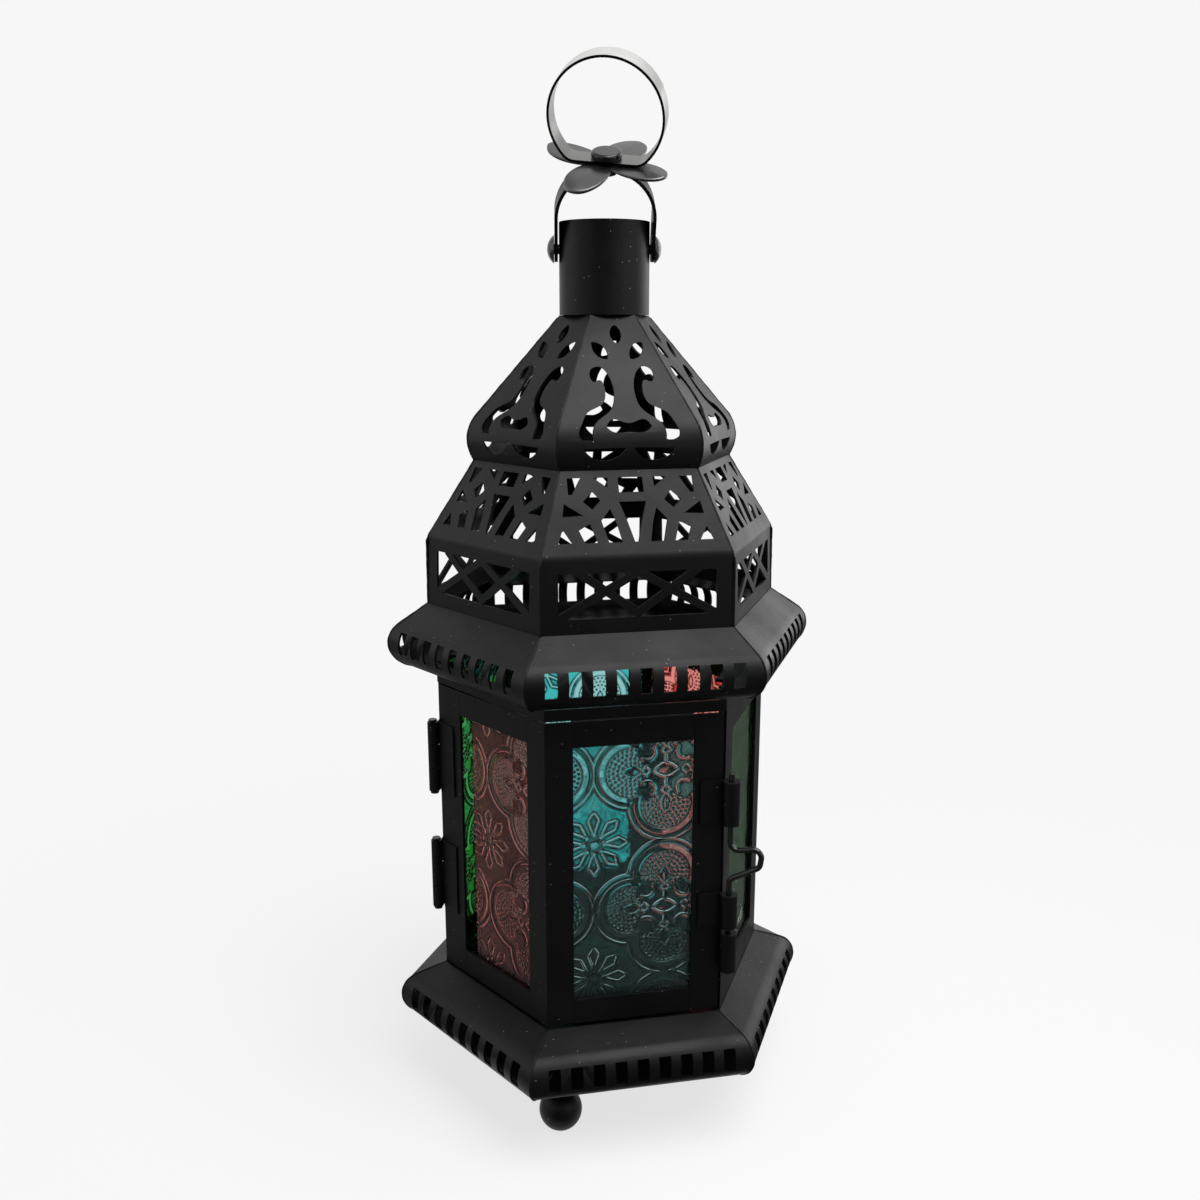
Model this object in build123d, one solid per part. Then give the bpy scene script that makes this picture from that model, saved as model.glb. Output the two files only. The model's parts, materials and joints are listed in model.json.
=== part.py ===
from build123d import *
import math
import os

# Hexagonal sheet-metal candle lantern: a body with six coloured panes, a folded double door on two
# of its faces, a slotted eave and base, a pierced dome, a chimney tube and a bail with a ring.
# Millimetres. The origin is on the lantern's axis on the ground, +Z up, and the folded corner of
# the door points to -Y. "Flat" in a name means the distance from the axis to the middle of a face.

# Sheet, gaps and overrun
SHEET = 0.6
FRAME_SHEET = 0.8
SEAM_GAP = 0.1
SWING_GAP = 0.4
RUN_GAP = 0.06
TOUCH_GAP = 0.3
OVERRUN = 2.0

# Six-sided plan
SIDE_COUNT = 6
SECTOR_ANGLE = 360.0 / SIDE_COUNT
HALF_ANGLE = SECTOR_ANGLE / 2.0
MITRE = math.tan(math.radians(HALF_ANGLE))
TO_CORNER = 1.0 / math.cos(math.radians(HALF_ANGLE))
DOOR_CORNER_ANGLE = 270.0
DOOR_FACES = "ab"
FIXED_FACES = "cdef"
FACES = DOOR_FACES + FIXED_FACES
FACE_ANGLES = {
    face: (DOOR_CORNER_ANGLE - HALF_ANGLE + SECTOR_ANGLE * index) % 360.0
    for index, face in enumerate(FACES)
}
HINGE_CORNER_ANGLE = DOOR_CORNER_ANGLE - SECTOR_ANGLE
LATCH_CORNER_ANGLE = DOOR_CORNER_ANGLE + SECTOR_ANGLE
FIXED_CORNER_ANGLES = [(FACE_ANGLES[face] + HALF_ANGLE) % 360.0 for face in FIXED_FACES[:-1]]
FOOT_CORNER_ANGLES = [DOOR_CORNER_ANGLE + 2.0 * SECTOR_ANGLE * index for index in range(SIDE_COUNT // 2)]

# Body: faces, door and windows
BODY_FLAT = 37.7
FLOOR_TOP = 32.6
FLOOR_SHEET = 0.8
FRAME_RISE = 83.8
DOOR_LIFT = 0.8
DOOR_HEAD = 5.7
LINTEL_HEIGHT = 2.75
TOP_RAIL = 6.3
SILL = 7.2
CORNER_LEG = 6.7
HINGE_STILE = 9.7
LATCH_STILE = 7.7
FRAME_STILE = 7.7
RAIL_FLANGE = 4.6
PANE_THICK = 2.2
PANE_LAP = 3.6
PANE_SLIP = 7.4

# Eave and base: a sloping sheet that ends in a slotted round nose and turns back under
NOSE_RADIUS = 6.2
SKIRT_REACH = 10.4
EAVE_SLOPE_ANGLE = 38.0
BASE_SLOPE_ANGLE = 22.0
BASE_LIP_WIDTH = 14.9
SLOT_COUNT = 9
SLOT_PITCH = 5.4
SLOT_WIDTH = 2.9
SLOT_TOP_ANGLE = 34.0
SLOT_BOTTOM_ANGLE = -22.0

# Dome: an upright band, a slanted lattice tier and an ogee that bulges and runs up to the neck
BAND_STEP = 1.5
BAND_TUCK = 1.4
BAND_TAPER = 0.5
BAND_RISE = 17.4
BAND_FOLD_RADIUS = 3.5
BAND_BAR = 1.9
BULGE_INSET = 9.4
BULGE_RISE = 23.3
BULGE_RADIUS = 10.0
WAIST_ANGLE = -30.4
NECK_RISE = 29.7
NECK_TAB_WIDTH = 5.5
NECK_TAB_RISE = 5.0

# Chimney tube, bail and hanging ring
TUBE_RADIUS = 11.0
TUBE_RISE = 21.8
PIVOT_DROP = 6.3
PIVOT_TURN_ANGLE = 21.0
BAIL_LEAN_ANGLE = 28.0
BAIL_SHEET = 0.8
BAIL_WIDTH = 6.0
BAIL_RISE = 20.8
PIVOT_RIVET_RADIUS = 1.2
PIVOT_HEAD_RADIUS = 3.4
PIVOT_HEAD_RISE = 1.7
PETAL_SHEET = 0.6
PETAL_HUB_RADIUS = 4.2
PETAL_CENTRE = 8.9
PETAL_LENGTH = 13.4
PETAL_WIDTH = 7.8
PETAL_TURN_ANGLE = 57.5
PETAL_COUNT = 4
RING_RADIUS = 13.5
RING_FLAT_DEPTH = 3.0
RING_CORNER_RADIUS = 4.0
RING_SHEET = 0.6
RING_WIDTH = 6.0
RING_TURN_ANGLE = -12.0
RING_RIVET_RADIUS = 1.3
RING_HEAD_RADIUS = 3.6
RING_HEAD_RISE = 1.4
RING_CLINCH_RADIUS = 2.6
RING_CLINCH_RISE = 0.8

# Hinges at the left corner of the door
HINGE_OUT = 1.45
HINGE_BARREL_RADIUS = 1.4
HINGE_PIN_RADIUS = 0.6
HINGE_PIN_HEAD_RADIUS = 1.1
HINGE_PIN_HEAD_RISE = 0.5
HINGE_HEIGHT = 18.8
HINGE_RISES = {"lower": 16.6, "upper": 49.2}
HINGE_LEAF_SHEET = 0.5
HINGE_LEAF_WIDTH = 6.0
KNUCKLE_GAP = 0.15
KNUCKLE_COUNT = 3

# Drop-pin latch at the right corner of the door
LATCH_OUT = 2.25
WIRE_RADIUS = 0.7
GUIDE_RADIUS = 2.1
GUIDE_LEAF_SHEET = 0.6
GUIDE_LEAF_WIDTH = 6.2
KEEPER_RISE = 12.2
KEEPER_HEIGHT = 10.0
GUIDE_SPACE = 1.6
MIDDLE_GUIDE_HEIGHT = 8.6
LOOP_STAND = 4.0
LOOP_HEIGHT = 7.4
LOOP_REACH = 8.0
LOOP_RISE = 1.5
LOOP_FALL = 3.4
LOOP_RADIUS = 1.9
LOOP_HEADROOM = 6.8
UPPER_GUIDE_HEIGHT = 11.0
WIRE_TOP_STAND = 1.8

# Feet and candle cup
FOOT_RADIUS = 5.45
FOOT_FLAT_DEPTH = 0.25
FOOT_STEM_RADIUS = 2.2
FOOT_INSET = 20.74
CUP_RADIUS = 20.4
CUP_HEIGHT = 8.4
CUP_SHEET = 0.6
CUP_RIVET_RADIUS = 1.5
CUP_RIVET_HEAD_RADIUS = 2.6
CUP_RIVET_HEAD_RISE = 0.7


def skirt_rise(tip_flat, slope_angle, top_flat):
    """Height of the top of a skirt's slope above the centre of its nose."""
    slope = math.radians(slope_angle)
    run = tip_flat - NOSE_RADIUS + NOSE_RADIUS * math.sin(slope) - top_flat
    return NOSE_RADIUS * math.cos(slope) + run * math.tan(slope)


# Derived levels and reaches
BODY_CORNER = BODY_FLAT * TO_CORNER
FACE_HALF = BODY_FLAT * MITRE
TIP_FLAT = BODY_FLAT + SKIRT_REACH
PLAN_REACH = TIP_FLAT + OVERRUN
FRAME_TOP = FLOOR_TOP + FRAME_RISE
DOOR_BOTTOM = FLOOR_TOP + DOOR_LIFT
DOOR_TOP = FRAME_TOP - DOOR_HEAD
LINTEL_SPAN = (DOOR_TOP + SWING_GAP, DOOR_TOP + SWING_GAP + LINTEL_HEIGHT)
WINDOW_BOTTOM = FLOOR_TOP + SILL
WINDOW_TOP = DOOR_TOP - TOP_RAIL
BASE_TOP_FLAT = BODY_FLAT + SEAM_GAP
BASE_NOSE_Z = FLOOR_TOP - skirt_rise(TIP_FLAT, BASE_SLOPE_ANGLE, BASE_TOP_FLAT)
BASE_LIP_FLAT = TIP_FLAT - NOSE_RADIUS - BASE_LIP_WIDTH
BASE_LIP_Z = BASE_NOSE_Z - NOSE_RADIUS
FOOT_CORNER_RADIUS = TIP_FLAT * TO_CORNER - FOOT_INSET
BAND_FLAT = BODY_FLAT + BAND_STEP
BAND_TOP_FLAT = BAND_FLAT - BAND_TAPER
EAVE_NOSE_Z = FRAME_TOP - SHEET + NOSE_RADIUS
EAVE_TOP_FLAT = BAND_FLAT + SEAM_GAP
EAVE_TOP_Z = EAVE_NOSE_Z + skirt_rise(TIP_FLAT, EAVE_SLOPE_ANGLE, EAVE_TOP_FLAT)
BAND_TOP_Z = EAVE_TOP_Z + BAND_RISE
BULGE_FLAT = BAND_FLAT - BULGE_INSET
BULGE_Z = BAND_TOP_Z + BULGE_RISE
BULGE_CENTRE = (BULGE_FLAT - BULGE_RADIUS, BULGE_Z)
NECK_Z = BULGE_Z + NECK_RISE
NECK_FLAT = math.sqrt((TUBE_RADIUS - SHEET - TOUCH_GAP) ** 2 - NECK_TAB_WIDTH ** 2 / 4.0)
TUBE_BOTTOM = NECK_Z + SEAM_GAP
TUBE_TOP = TUBE_BOTTOM + TUBE_RISE
PIVOT_Z = TUBE_TOP - PIVOT_DROP
HINGE_AXIS = BODY_CORNER + HINGE_OUT
HINGE_BOTTOMS = {name: FLOOR_TOP + rise for name, rise in HINGE_RISES.items()}
LATCH_AXIS = BODY_CORNER + LATCH_OUT
KEEPER_SPAN = (FLOOR_TOP + KEEPER_RISE, FLOOR_TOP + KEEPER_RISE + KEEPER_HEIGHT)
MIDDLE_GUIDE_SPAN = (KEEPER_SPAN[1] + GUIDE_SPACE, KEEPER_SPAN[1] + GUIDE_SPACE + MIDDLE_GUIDE_HEIGHT)
LOOP_FOOT_Z = MIDDLE_GUIDE_SPAN[1] + LOOP_STAND
LOOP_SHOULDER_Z = LOOP_FOOT_Z + LOOP_HEIGHT
UPPER_GUIDE_SPAN = (LOOP_SHOULDER_Z + LOOP_HEADROOM, LOOP_SHOULDER_Z + LOOP_HEADROOM + UPPER_GUIDE_HEIGHT)

# Cut-outs of a dome panel, drawn on its upright elevation, for the right half.
# Widths are shares of the half panel at the foot of the zone, heights are shares of the zone.
LATTICE_CELL_SHARES = (
    ((0.515, 0.915), (0.66, 0.915), (0.66, 0.72), (0.62, 0.72)),
    ((0.235, 0.915), (0.385, 0.915), (0.245, 0.795)),
    ((0.41, 0.75), (0.515, 0.64), (0.425, 0.545), (0.33, 0.645)),
    ((0.715, 0.62), (0.52, 0.475), (0.74, 0.465)),
    ((0.24, 0.555), (0.19, 0.395), (0.145, 0.16), (0.285, 0.16), (0.345, 0.415)),
    ((0.465, 0.385), (0.585, 0.31), (0.53, 0.16), (0.40, 0.16)),
    ((0.75, 0.325), (0.81, 0.16), (0.665, 0.16)),
)
LATTICE_MIDDLE_SHARES = (
    ((-0.13, 0.915), (0.13, 0.915), (0.13, 0.735), (-0.13, 0.735)),
    ((-0.143, 0.63), (0.143, 0.63), (0.07, 0.38), (0.018, 0.16), (-0.018, 0.16), (-0.07, 0.38)),
)
BAND_WINDOW_SHARE = 0.815
BAND_WINDOW_BOTTOM_SHARE = 0.20
BAND_WINDOW_TOP_SHARE = 0.795
BAND_VALLEY_SHARE = 0.60
SCROLL_INNER_SHARES = (
    (0.44, 0.595), (0.40, 0.65), (0.29, 0.66), (0.18, 0.605), (0.14, 0.495),
    (0.19, 0.405), (0.32, 0.35), (0.455, 0.30), (0.50, 0.24), (0.49, 0.195),
)
SCROLL_OUTER_SHARES = (
    (0.65, 0.20), (0.685, 0.25), (0.635, 0.305), (0.545, 0.37), (0.325, 0.425),
    (0.26, 0.50), (0.315, 0.575), (0.385, 0.565), (0.44, 0.595),
)
CRESCENT_SHARES = ((0.05, 0.15), (0.345, 0.065), (0.63, 0.145))
WHISKER_TOP_SHARES = ((-0.31, 0.285), (-0.20, 0.33), (0.0, 0.305), (0.20, 0.33), (0.31, 0.285))
WHISKER_FOOT_SHARES = ((0.31, 0.285), (0.15, 0.245), (0.0, 0.25), (-0.15, 0.245), (-0.31, 0.285))
ALMOND_TOP_SHARES = ((0.0, 0.81), (0.0, 0.935))
ALMOND_SIDE_SHARES = ((0.155, 0.71), (0.355, 0.82))
ALMOND_HALF_SHARE = 0.08


def polar(radius, angle):
    """Plan point at a radius and an angle in degrees."""
    return radius * math.cos(math.radians(angle)), radius * math.sin(math.radians(angle))


def block(x_span, y_span, z_span):
    """Box between the two ends given for each axis."""
    size = [high - low for low, high in (x_span, y_span, z_span)]
    middle = [(high + low) / 2.0 for low, high in (x_span, y_span, z_span)]
    return Pos(*middle) * Box(*size)


def post(radius, z_span, place=(0.0, 0.0)):
    """Upright round bar between two heights."""
    bar = Cylinder(radius, z_span[1] - z_span[0], align=(Align.CENTER, Align.CENTER, Align.MIN))
    return Pos(place[0], place[1], z_span[0]) * bar


def prism(plan, z_span):
    """Upright prism on a plan outline."""
    return Pos(0, 0, z_span[0]) * extrude(plan, amount=z_span[1] - z_span[0], dir=(0, 0, 1))


def hexagon(flat, z_span):
    """Six-sided prism with a corner towards +X."""
    corners = [polar(flat * TO_CORNER, SECTOR_ANGLE * index) for index in range(SIDE_COUNT)]
    return prism(Polygon(*corners, align=None), z_span)


def on_face(face, shape):
    """Turn a piece drawn on the face that looks along +X to its own face."""
    return Rot(0, 0, FACE_ANGLES[face]) * shape


def sector(gap, z_span, half_angle=HALF_ANGLE):
    """Wedge of the plan about +X, one sixth unless told otherwise, held back by a gap from its two sides."""
    apex = gap / math.sin(math.radians(half_angle))
    half = (PLAN_REACH - apex) * math.tan(math.radians(half_angle))
    plan = Polygon((apex, 0), (PLAN_REACH, half), (PLAN_REACH, -half), align=None)
    return prism(plan, z_span)


def bent_sheet(path, thickness, half_width):
    """Sheet of a given thickness on the left of a path in the XZ plane, wide along Y."""
    strip = make_face(offset(Wire(path), amount=thickness, side=Side.LEFT).edges())
    return extrude(Plane.XZ * strip, amount=half_width, both=True)


def arc_between(start, end, centre, radius, through_angle):
    """Arc of a known centre that passes through the point at an angle in degrees."""
    dx, dy = polar(radius, through_angle)
    return ThreePointArc(start, (centre[0] + dx, centre[1] + dy), end)


# Dome

def waist_point():
    """Crease where the ogee's bulge meets the lattice tier."""
    dx, dz = polar(BULGE_RADIUS, WAIST_ANGLE)
    return BULGE_CENTRE[0] + dx, BULGE_CENTRE[1] + dz


def dome_path():
    """Outside line of a dome panel from its foot to the top of its neck tab."""
    reach = math.hypot(NECK_FLAT - BULGE_CENTRE[0], NECK_Z - BULGE_CENTRE[1])
    sight_angle = math.degrees(math.atan2(NECK_Z - BULGE_CENTRE[1], NECK_FLAT - BULGE_CENTRE[0]))
    tangent_angle = sight_angle - math.degrees(math.acos(BULGE_RADIUS / reach))
    tx, tz = polar(BULGE_RADIUS, tangent_angle)
    tangent = (BULGE_CENTRE[0] + tx, BULGE_CENTRE[1] + tz)
    foot = (BAND_FLAT, EAVE_TOP_Z - BAND_TUCK)
    lower = FilletPolyline(
        foot, (BAND_TOP_FLAT, BAND_TOP_Z), waist_point(), radius=BAND_FOLD_RADIUS
    )
    bulge = arc_between(waist_point(), tangent, BULGE_CENTRE, BULGE_RADIUS, 0.0)
    slope = Line(tangent, (NECK_FLAT, NECK_Z))
    tab = Line((NECK_FLAT, NECK_Z), (NECK_FLAT, NECK_Z + NECK_TAB_RISE))
    return [*lower.edges(), bulge, slope, tab]


def zone_point(share, half, z_span):
    """Elevation point from a width share and a height share of a zone."""
    return share[0] * half, z_span[0] + share[1] * (z_span[1] - z_span[0])


def cell(shares, half, z_span):
    """Straight-sided cut-out."""
    return Polygon(*[zone_point(share, half, z_span) for share in shares], align=None)


def closed_curve(first_shares, second_shares, half, z_span):
    """Cut-out bounded by two smooth curves, joined by a straight edge where their ends differ."""
    first = [zone_point(share, half, z_span) for share in first_shares]
    second = [zone_point(share, half, z_span) for share in second_shares]
    edges = [Spline(*first), Spline(*second)]
    if first[-1] != second[0]:
        edges.append(Line(first[-1], second[0]))
    return make_face(edges)


def almond(end_shares, half, z_span):
    """Lens between two tips."""
    low, high = [Vector(*zone_point(share, half, z_span)) for share in end_shares]
    along = (high - low).normalized()
    side = Vector(-along.Y, along.X) * (ALMOND_HALF_SHARE * half)
    middle = (low + high) / 2.0
    return make_face([
        ThreePointArc(low, middle + side, high),
        ThreePointArc(high, middle - side, low),
    ])


def crescent(half, z_span):
    """Boat-shaped cut-out, flat on top."""
    near, deep, far = [zone_point(share, half, z_span) for share in CRESCENT_SHARES]
    return make_face([ThreePointArc(near, deep, far), Line(far, near)])


def bar_between(start, end):
    """Straight bar of the band's lattice."""
    along = Vector(*end) - Vector(*start)
    tilt = math.degrees(math.atan2(along.Y, along.X))
    middle = (Vector(*end) + Vector(*start)) / 2.0
    return Pos(middle.X, middle.Y) * Rot(0, 0, tilt) * Rectangle(along.length + OVERRUN, BAND_BAR)


def band_cut_outs():
    """Window of the band with a peak and a valley of crossing bars left in it."""
    half = BAND_FLAT * MITRE
    z_span = (EAVE_TOP_Z, BAND_TOP_Z)
    left, bottom = zone_point((-BAND_WINDOW_SHARE, BAND_WINDOW_BOTTOM_SHARE), half, z_span)
    right, top = zone_point((BAND_WINDOW_SHARE, BAND_WINDOW_TOP_SHARE), half, z_span)
    window = Polygon((left, bottom), (right, bottom), (right, top), (left, top), align=None)
    valley = BAND_VALLEY_SHARE * half
    for side in (-1, 1):
        window -= bar_between((side * right, bottom), (0.0, top))
        window -= bar_between((side * valley, top), (0.0, bottom + BAND_BAR / 2.0))
    return list(window.faces())


def dome_cut_outs():
    """All cut-outs of one panel on its elevation."""
    waist_z = waist_point()[1]
    lattice = (BAND_TOP_FLAT * MITRE, (BAND_TOP_Z, waist_z))
    ogee = (BULGE_FLAT * MITRE, (waist_z, NECK_Z))
    right = [cell(shares, *lattice) for shares in LATTICE_CELL_SHARES]
    right.append(closed_curve(SCROLL_INNER_SHARES, SCROLL_OUTER_SHARES, *ogee))
    right.append(crescent(*ogee))
    right.append(almond(ALMOND_SIDE_SHARES, *ogee))
    middle = [cell(shares, *lattice) for shares in LATTICE_MIDDLE_SHARES]
    middle.append(closed_curve(WHISKER_TOP_SHARES, WHISKER_FOOT_SHARES, *ogee))
    middle.append(almond(ALMOND_TOP_SHARES, *ogee))
    left = [mirror(shape, about=Plane.YZ) for shape in right]
    return right + left + middle + band_cut_outs()


def dome_panel():
    """Pierced and folded panel of the dome, with a tab that stands inside the chimney tube."""
    panel = bent_sheet(dome_path(), SHEET, PLAN_REACH)
    panel &= sector(SEAM_GAP, (0.0, TUBE_TOP))
    cutters = [extrude(Plane.YZ * shape, amount=PLAN_REACH, dir=(1, 0, 0)) for shape in dome_cut_outs()]
    panel = panel - cutters
    for side in (-1, 1):
        edge = side * NECK_TAB_WIDTH / 2.0
        y_span = sorted((edge, side * PLAN_REACH))
        panel -= block((0.0, PLAN_REACH), y_span, (NECK_Z, TUBE_TOP))
    return panel


# Eave and base

def skirt_panel(nose_z, slope_angle, top_flat, lip_flat):
    """Sloping sheet with a slotted round nose and a flat lip that turns back under."""
    centre = (TIP_FLAT - NOSE_RADIUS, nose_z)
    sx, sz = polar(NOSE_RADIUS, 90.0 - slope_angle)
    start = (centre[0] + sx, centre[1] + sz)
    top = (top_flat, nose_z + skirt_rise(TIP_FLAT, slope_angle, top_flat))
    bottom = (centre[0], nose_z - NOSE_RADIUS)
    path = [
        Line((lip_flat, bottom[1]), bottom),
        arc_between(bottom, start, centre, NOSE_RADIUS, 0.0),
        Line(start, top),
    ]
    panel = bent_sheet(path, SHEET, PLAN_REACH) & sector(SEAM_GAP, (0.0, TUBE_TOP))
    panel -= block((0.0, top_flat), (-PLAN_REACH, PLAN_REACH), (nose_z, TUBE_TOP))
    slot_z = [nose_z + polar(NOSE_RADIUS, angle)[1] for angle in (SLOT_BOTTOM_ANGLE, SLOT_TOP_ANGLE)]
    slots = []
    for index in range(SLOT_COUNT):
        middle = (index - (SLOT_COUNT - 1) / 2.0) * SLOT_PITCH
        y_span = (middle - SLOT_WIDTH / 2.0, middle + SLOT_WIDTH / 2.0)
        slots.append(block((centre[0], PLAN_REACH), y_span, slot_z))
    return panel - slots


def eave_panel():
    """Panel of the eave, from the dome's band out and back to the frame."""
    return skirt_panel(EAVE_NOSE_Z, EAVE_SLOPE_ANGLE, EAVE_TOP_FLAT, BODY_FLAT + SEAM_GAP)


def base_panel():
    """Panel of the base, from the floor plate out and back to carry the feet."""
    return skirt_panel(BASE_NOSE_Z, BASE_SLOPE_ANGLE, BASE_TOP_FLAT, BASE_LIP_FLAT)


def floor_plate():
    """Six-sided plate that closes the body below."""
    plate = Rot(0, 0, DOOR_CORNER_ANGLE) * hexagon(BODY_FLAT, (FLOOR_TOP - FLOOR_SHEET, FLOOR_TOP))
    return plate - post(CUP_RIVET_RADIUS + RUN_GAP, (FLOOR_TOP - OVERRUN, FLOOR_TOP + OVERRUN))


def ball_feet():
    """Three ball feet, flattened where they stand, each on a short stem under the base's lip."""
    middle_z = FOOT_RADIUS - FOOT_FLAT_DEPTH
    feet = []
    for angle in FOOT_CORNER_ANGLES:
        x, y = polar(FOOT_CORNER_RADIUS, angle)
        ball = Pos(x, y, middle_z) * Sphere(FOOT_RADIUS)
        foot = ball + post(FOOT_STEM_RADIUS, (middle_z, BASE_LIP_Z), (x, y))
        feet.append(foot - post(FOOT_RADIUS + OVERRUN, (-FOOT_RADIUS, 0.0), (x, y)))
    return feet


def candle_cup():
    """Shallow cup for a tea light, with a hole for its rivet."""
    base_z = FLOOR_TOP
    cup = post(CUP_RADIUS, (base_z, base_z + CUP_HEIGHT))
    cup -= post(CUP_RADIUS - CUP_SHEET, (base_z + CUP_SHEET, base_z + CUP_HEIGHT + OVERRUN))
    return cup - post(CUP_RIVET_RADIUS + RUN_GAP, (base_z - OVERRUN, base_z + OVERRUN))


def candle_cup_rivet():
    """Rivet that holds the cup to the floor plate."""
    top = FLOOR_TOP + CUP_SHEET + SEAM_GAP
    bottom = FLOOR_TOP - FLOOR_SHEET - SEAM_GAP
    rivet = post(CUP_RIVET_RADIUS, (bottom, top))
    rivet += post(CUP_RIVET_HEAD_RADIUS, (top, top + CUP_RIVET_HEAD_RISE))
    return rivet + post(CUP_RIVET_HEAD_RADIUS, (bottom - CUP_RIVET_HEAD_RISE, bottom))


# Body frame and door

def corner_strip(angle, leg, z_span):
    """Strip folded over a corner of the body, with a leg on each of its two faces."""
    inner_corner = BODY_CORNER - FRAME_SHEET * TO_CORNER
    along_x, along_y = polar(leg, 90.0 + HALF_ANGLE)
    normal_x, normal_y = polar(FRAME_SHEET, HALF_ANGLE)
    outer_end = (BODY_CORNER + along_x, along_y)
    inner_end = (outer_end[0] - normal_x, outer_end[1] - normal_y)
    plan = Polygon(
        (BODY_CORNER, 0), outer_end, inner_end, (inner_corner, 0),
        (inner_end[0], -inner_end[1]), (outer_end[0], -outer_end[1]), align=None,
    )
    return Rot(0, 0, angle) * prism(plan, z_span)


def face_strip(face, y_span, z_span):
    """Flat strip on a face, held back from the corners so that the door can swing."""
    strip = block((BODY_FLAT - FRAME_SHEET, BODY_FLAT), y_span, z_span)
    return on_face(face, strip & sector(SWING_GAP, z_span))


def rail(face, y_span, z_span, flange_on_top):
    """Strip across a face with a flange that turns inwards at its outer end."""
    strip = block((BODY_FLAT - FRAME_SHEET, BODY_FLAT), y_span, z_span)
    if flange_on_top:
        flange_z = (z_span[1] - FRAME_SHEET, z_span[1])
    else:
        flange_z = (z_span[0], z_span[0] + FRAME_SHEET)
    inner_half = (BODY_FLAT - RAIL_FLANGE) * MITRE - SWING_GAP * TO_CORNER
    flange_y = (max(y_span[0], -inner_half), min(y_span[1], inner_half))
    return on_face(face, strip + block((BODY_FLAT - RAIL_FLANGE, BODY_FLAT), flange_y, flange_z))


def window_span(left_width, right_width):
    """Clear width of a face between its two uprights."""
    return -FACE_HALF + left_width, FACE_HALF - right_width


def pane(face, y_span, z_span):
    """Flat blank of glass behind the frame of a face."""
    front = BODY_FLAT - FRAME_SHEET - SEAM_GAP
    return on_face(face, block((front - PANE_THICK, front), y_span, z_span))


def pane_z_span(frame_span):
    """Height of a pane that stands between the two flanges."""
    return frame_span[0] + FRAME_SHEET + SEAM_GAP, frame_span[1] - FRAME_SHEET - SEAM_GAP


FIXED_SPAN = (FLOOR_TOP, FRAME_TOP)
DOOR_SPAN = (DOOR_BOTTOM, DOOR_TOP)
FACE_SPANS = {
    "a": window_span(HINGE_STILE, CORNER_LEG),
    "b": window_span(CORNER_LEG, LATCH_STILE),
    "c": window_span(FRAME_STILE, CORNER_LEG),
    "d": window_span(CORNER_LEG, CORNER_LEG),
    "e": window_span(CORNER_LEG, CORNER_LEG),
    "f": window_span(CORNER_LEG, FRAME_STILE),
}


def face_frame_span(face):
    """Height of the frame on a face: the door's or the fixed one."""
    return FIXED_SPAN if face in FIXED_FACES else DOOR_SPAN


def top_rail(face):
    """Rail above the window of a face."""
    return rail(face, FACE_SPANS[face], (WINDOW_TOP, face_frame_span(face)[1]), True)


def bottom_rail(face):
    """Rail below the window of a face."""
    return rail(face, FACE_SPANS[face], (face_frame_span(face)[0], WINDOW_BOTTOM), False)


def face_pane(face):
    """Pane of a face. The one beside the hinges stands clear of the hinge stile."""
    low, high = FACE_SPANS[face]
    slip = PANE_SLIP if face == "a" else 0.0
    return pane(face, (low - PANE_LAP + slip, high + PANE_LAP), pane_z_span(face_frame_span(face)))


def door_lintel():
    """Strip of the fixed frame over the door, folded at its corner, between the posts beside the door."""
    strip = hexagon(BODY_FLAT, LINTEL_SPAN) - hexagon(BODY_FLAT - FRAME_SHEET, LINTEL_SPAN)
    return Rot(0, 0, DOOR_CORNER_ANGLE) * (strip & sector(SEAM_GAP - SWING_GAP, LINTEL_SPAN, SECTOR_ANGLE))


# Hinges

def knuckle_spans(bottom):
    """Heights of the knuckles of one hinge, from the lowest up."""
    pitch = HINGE_HEIGHT / KNUCKLE_COUNT
    lows = [bottom + pitch * index for index in range(KNUCKLE_COUNT)]
    return [(low + KNUCKLE_GAP / 2.0, low + pitch - KNUCKLE_GAP / 2.0) for low in lows]


def hinge_leaf(face, side, bottom, owned):
    """Leaf on a face with the knuckles that it owns, bored for the pin."""
    ax, ay = polar(HINGE_AXIS, side * HALF_ANGLE)
    edge = FACE_HALF + SWING_GAP - HINGE_BARREL_RADIUS
    x_span = (BODY_FLAT, BODY_FLAT + HINGE_LEAF_SHEET)
    y_span = sorted((side * edge, side * (edge - HINGE_LEAF_WIDTH)))
    leaf = block(x_span, y_span, (bottom, bottom + HINGE_HEIGHT))
    for index in owned:
        z_span = knuckle_spans(bottom)[index]
        leaf += block(x_span, sorted((side * edge, ay)), z_span)
        leaf += post(HINGE_BARREL_RADIUS, z_span, (ax, ay))
    bore = (bottom - OVERRUN, bottom + HINGE_HEIGHT + OVERRUN)
    return on_face(face, leaf - post(HINGE_PIN_RADIUS + RUN_GAP, bore, (ax, ay)))


def hinge_pin(bottom):
    """Pin with a flat head at each end."""
    place = polar(HINGE_AXIS, HINGE_CORNER_ANGLE)
    low = bottom - KNUCKLE_GAP
    high = bottom + HINGE_HEIGHT + KNUCKLE_GAP
    pin = post(HINGE_PIN_RADIUS, (low, high), place)
    pin += post(HINGE_PIN_HEAD_RADIUS, (high, high + HINGE_PIN_HEAD_RISE), place)
    return pin + post(HINGE_PIN_HEAD_RADIUS, (low - HINGE_PIN_HEAD_RISE, low), place)


# Latch

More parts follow.
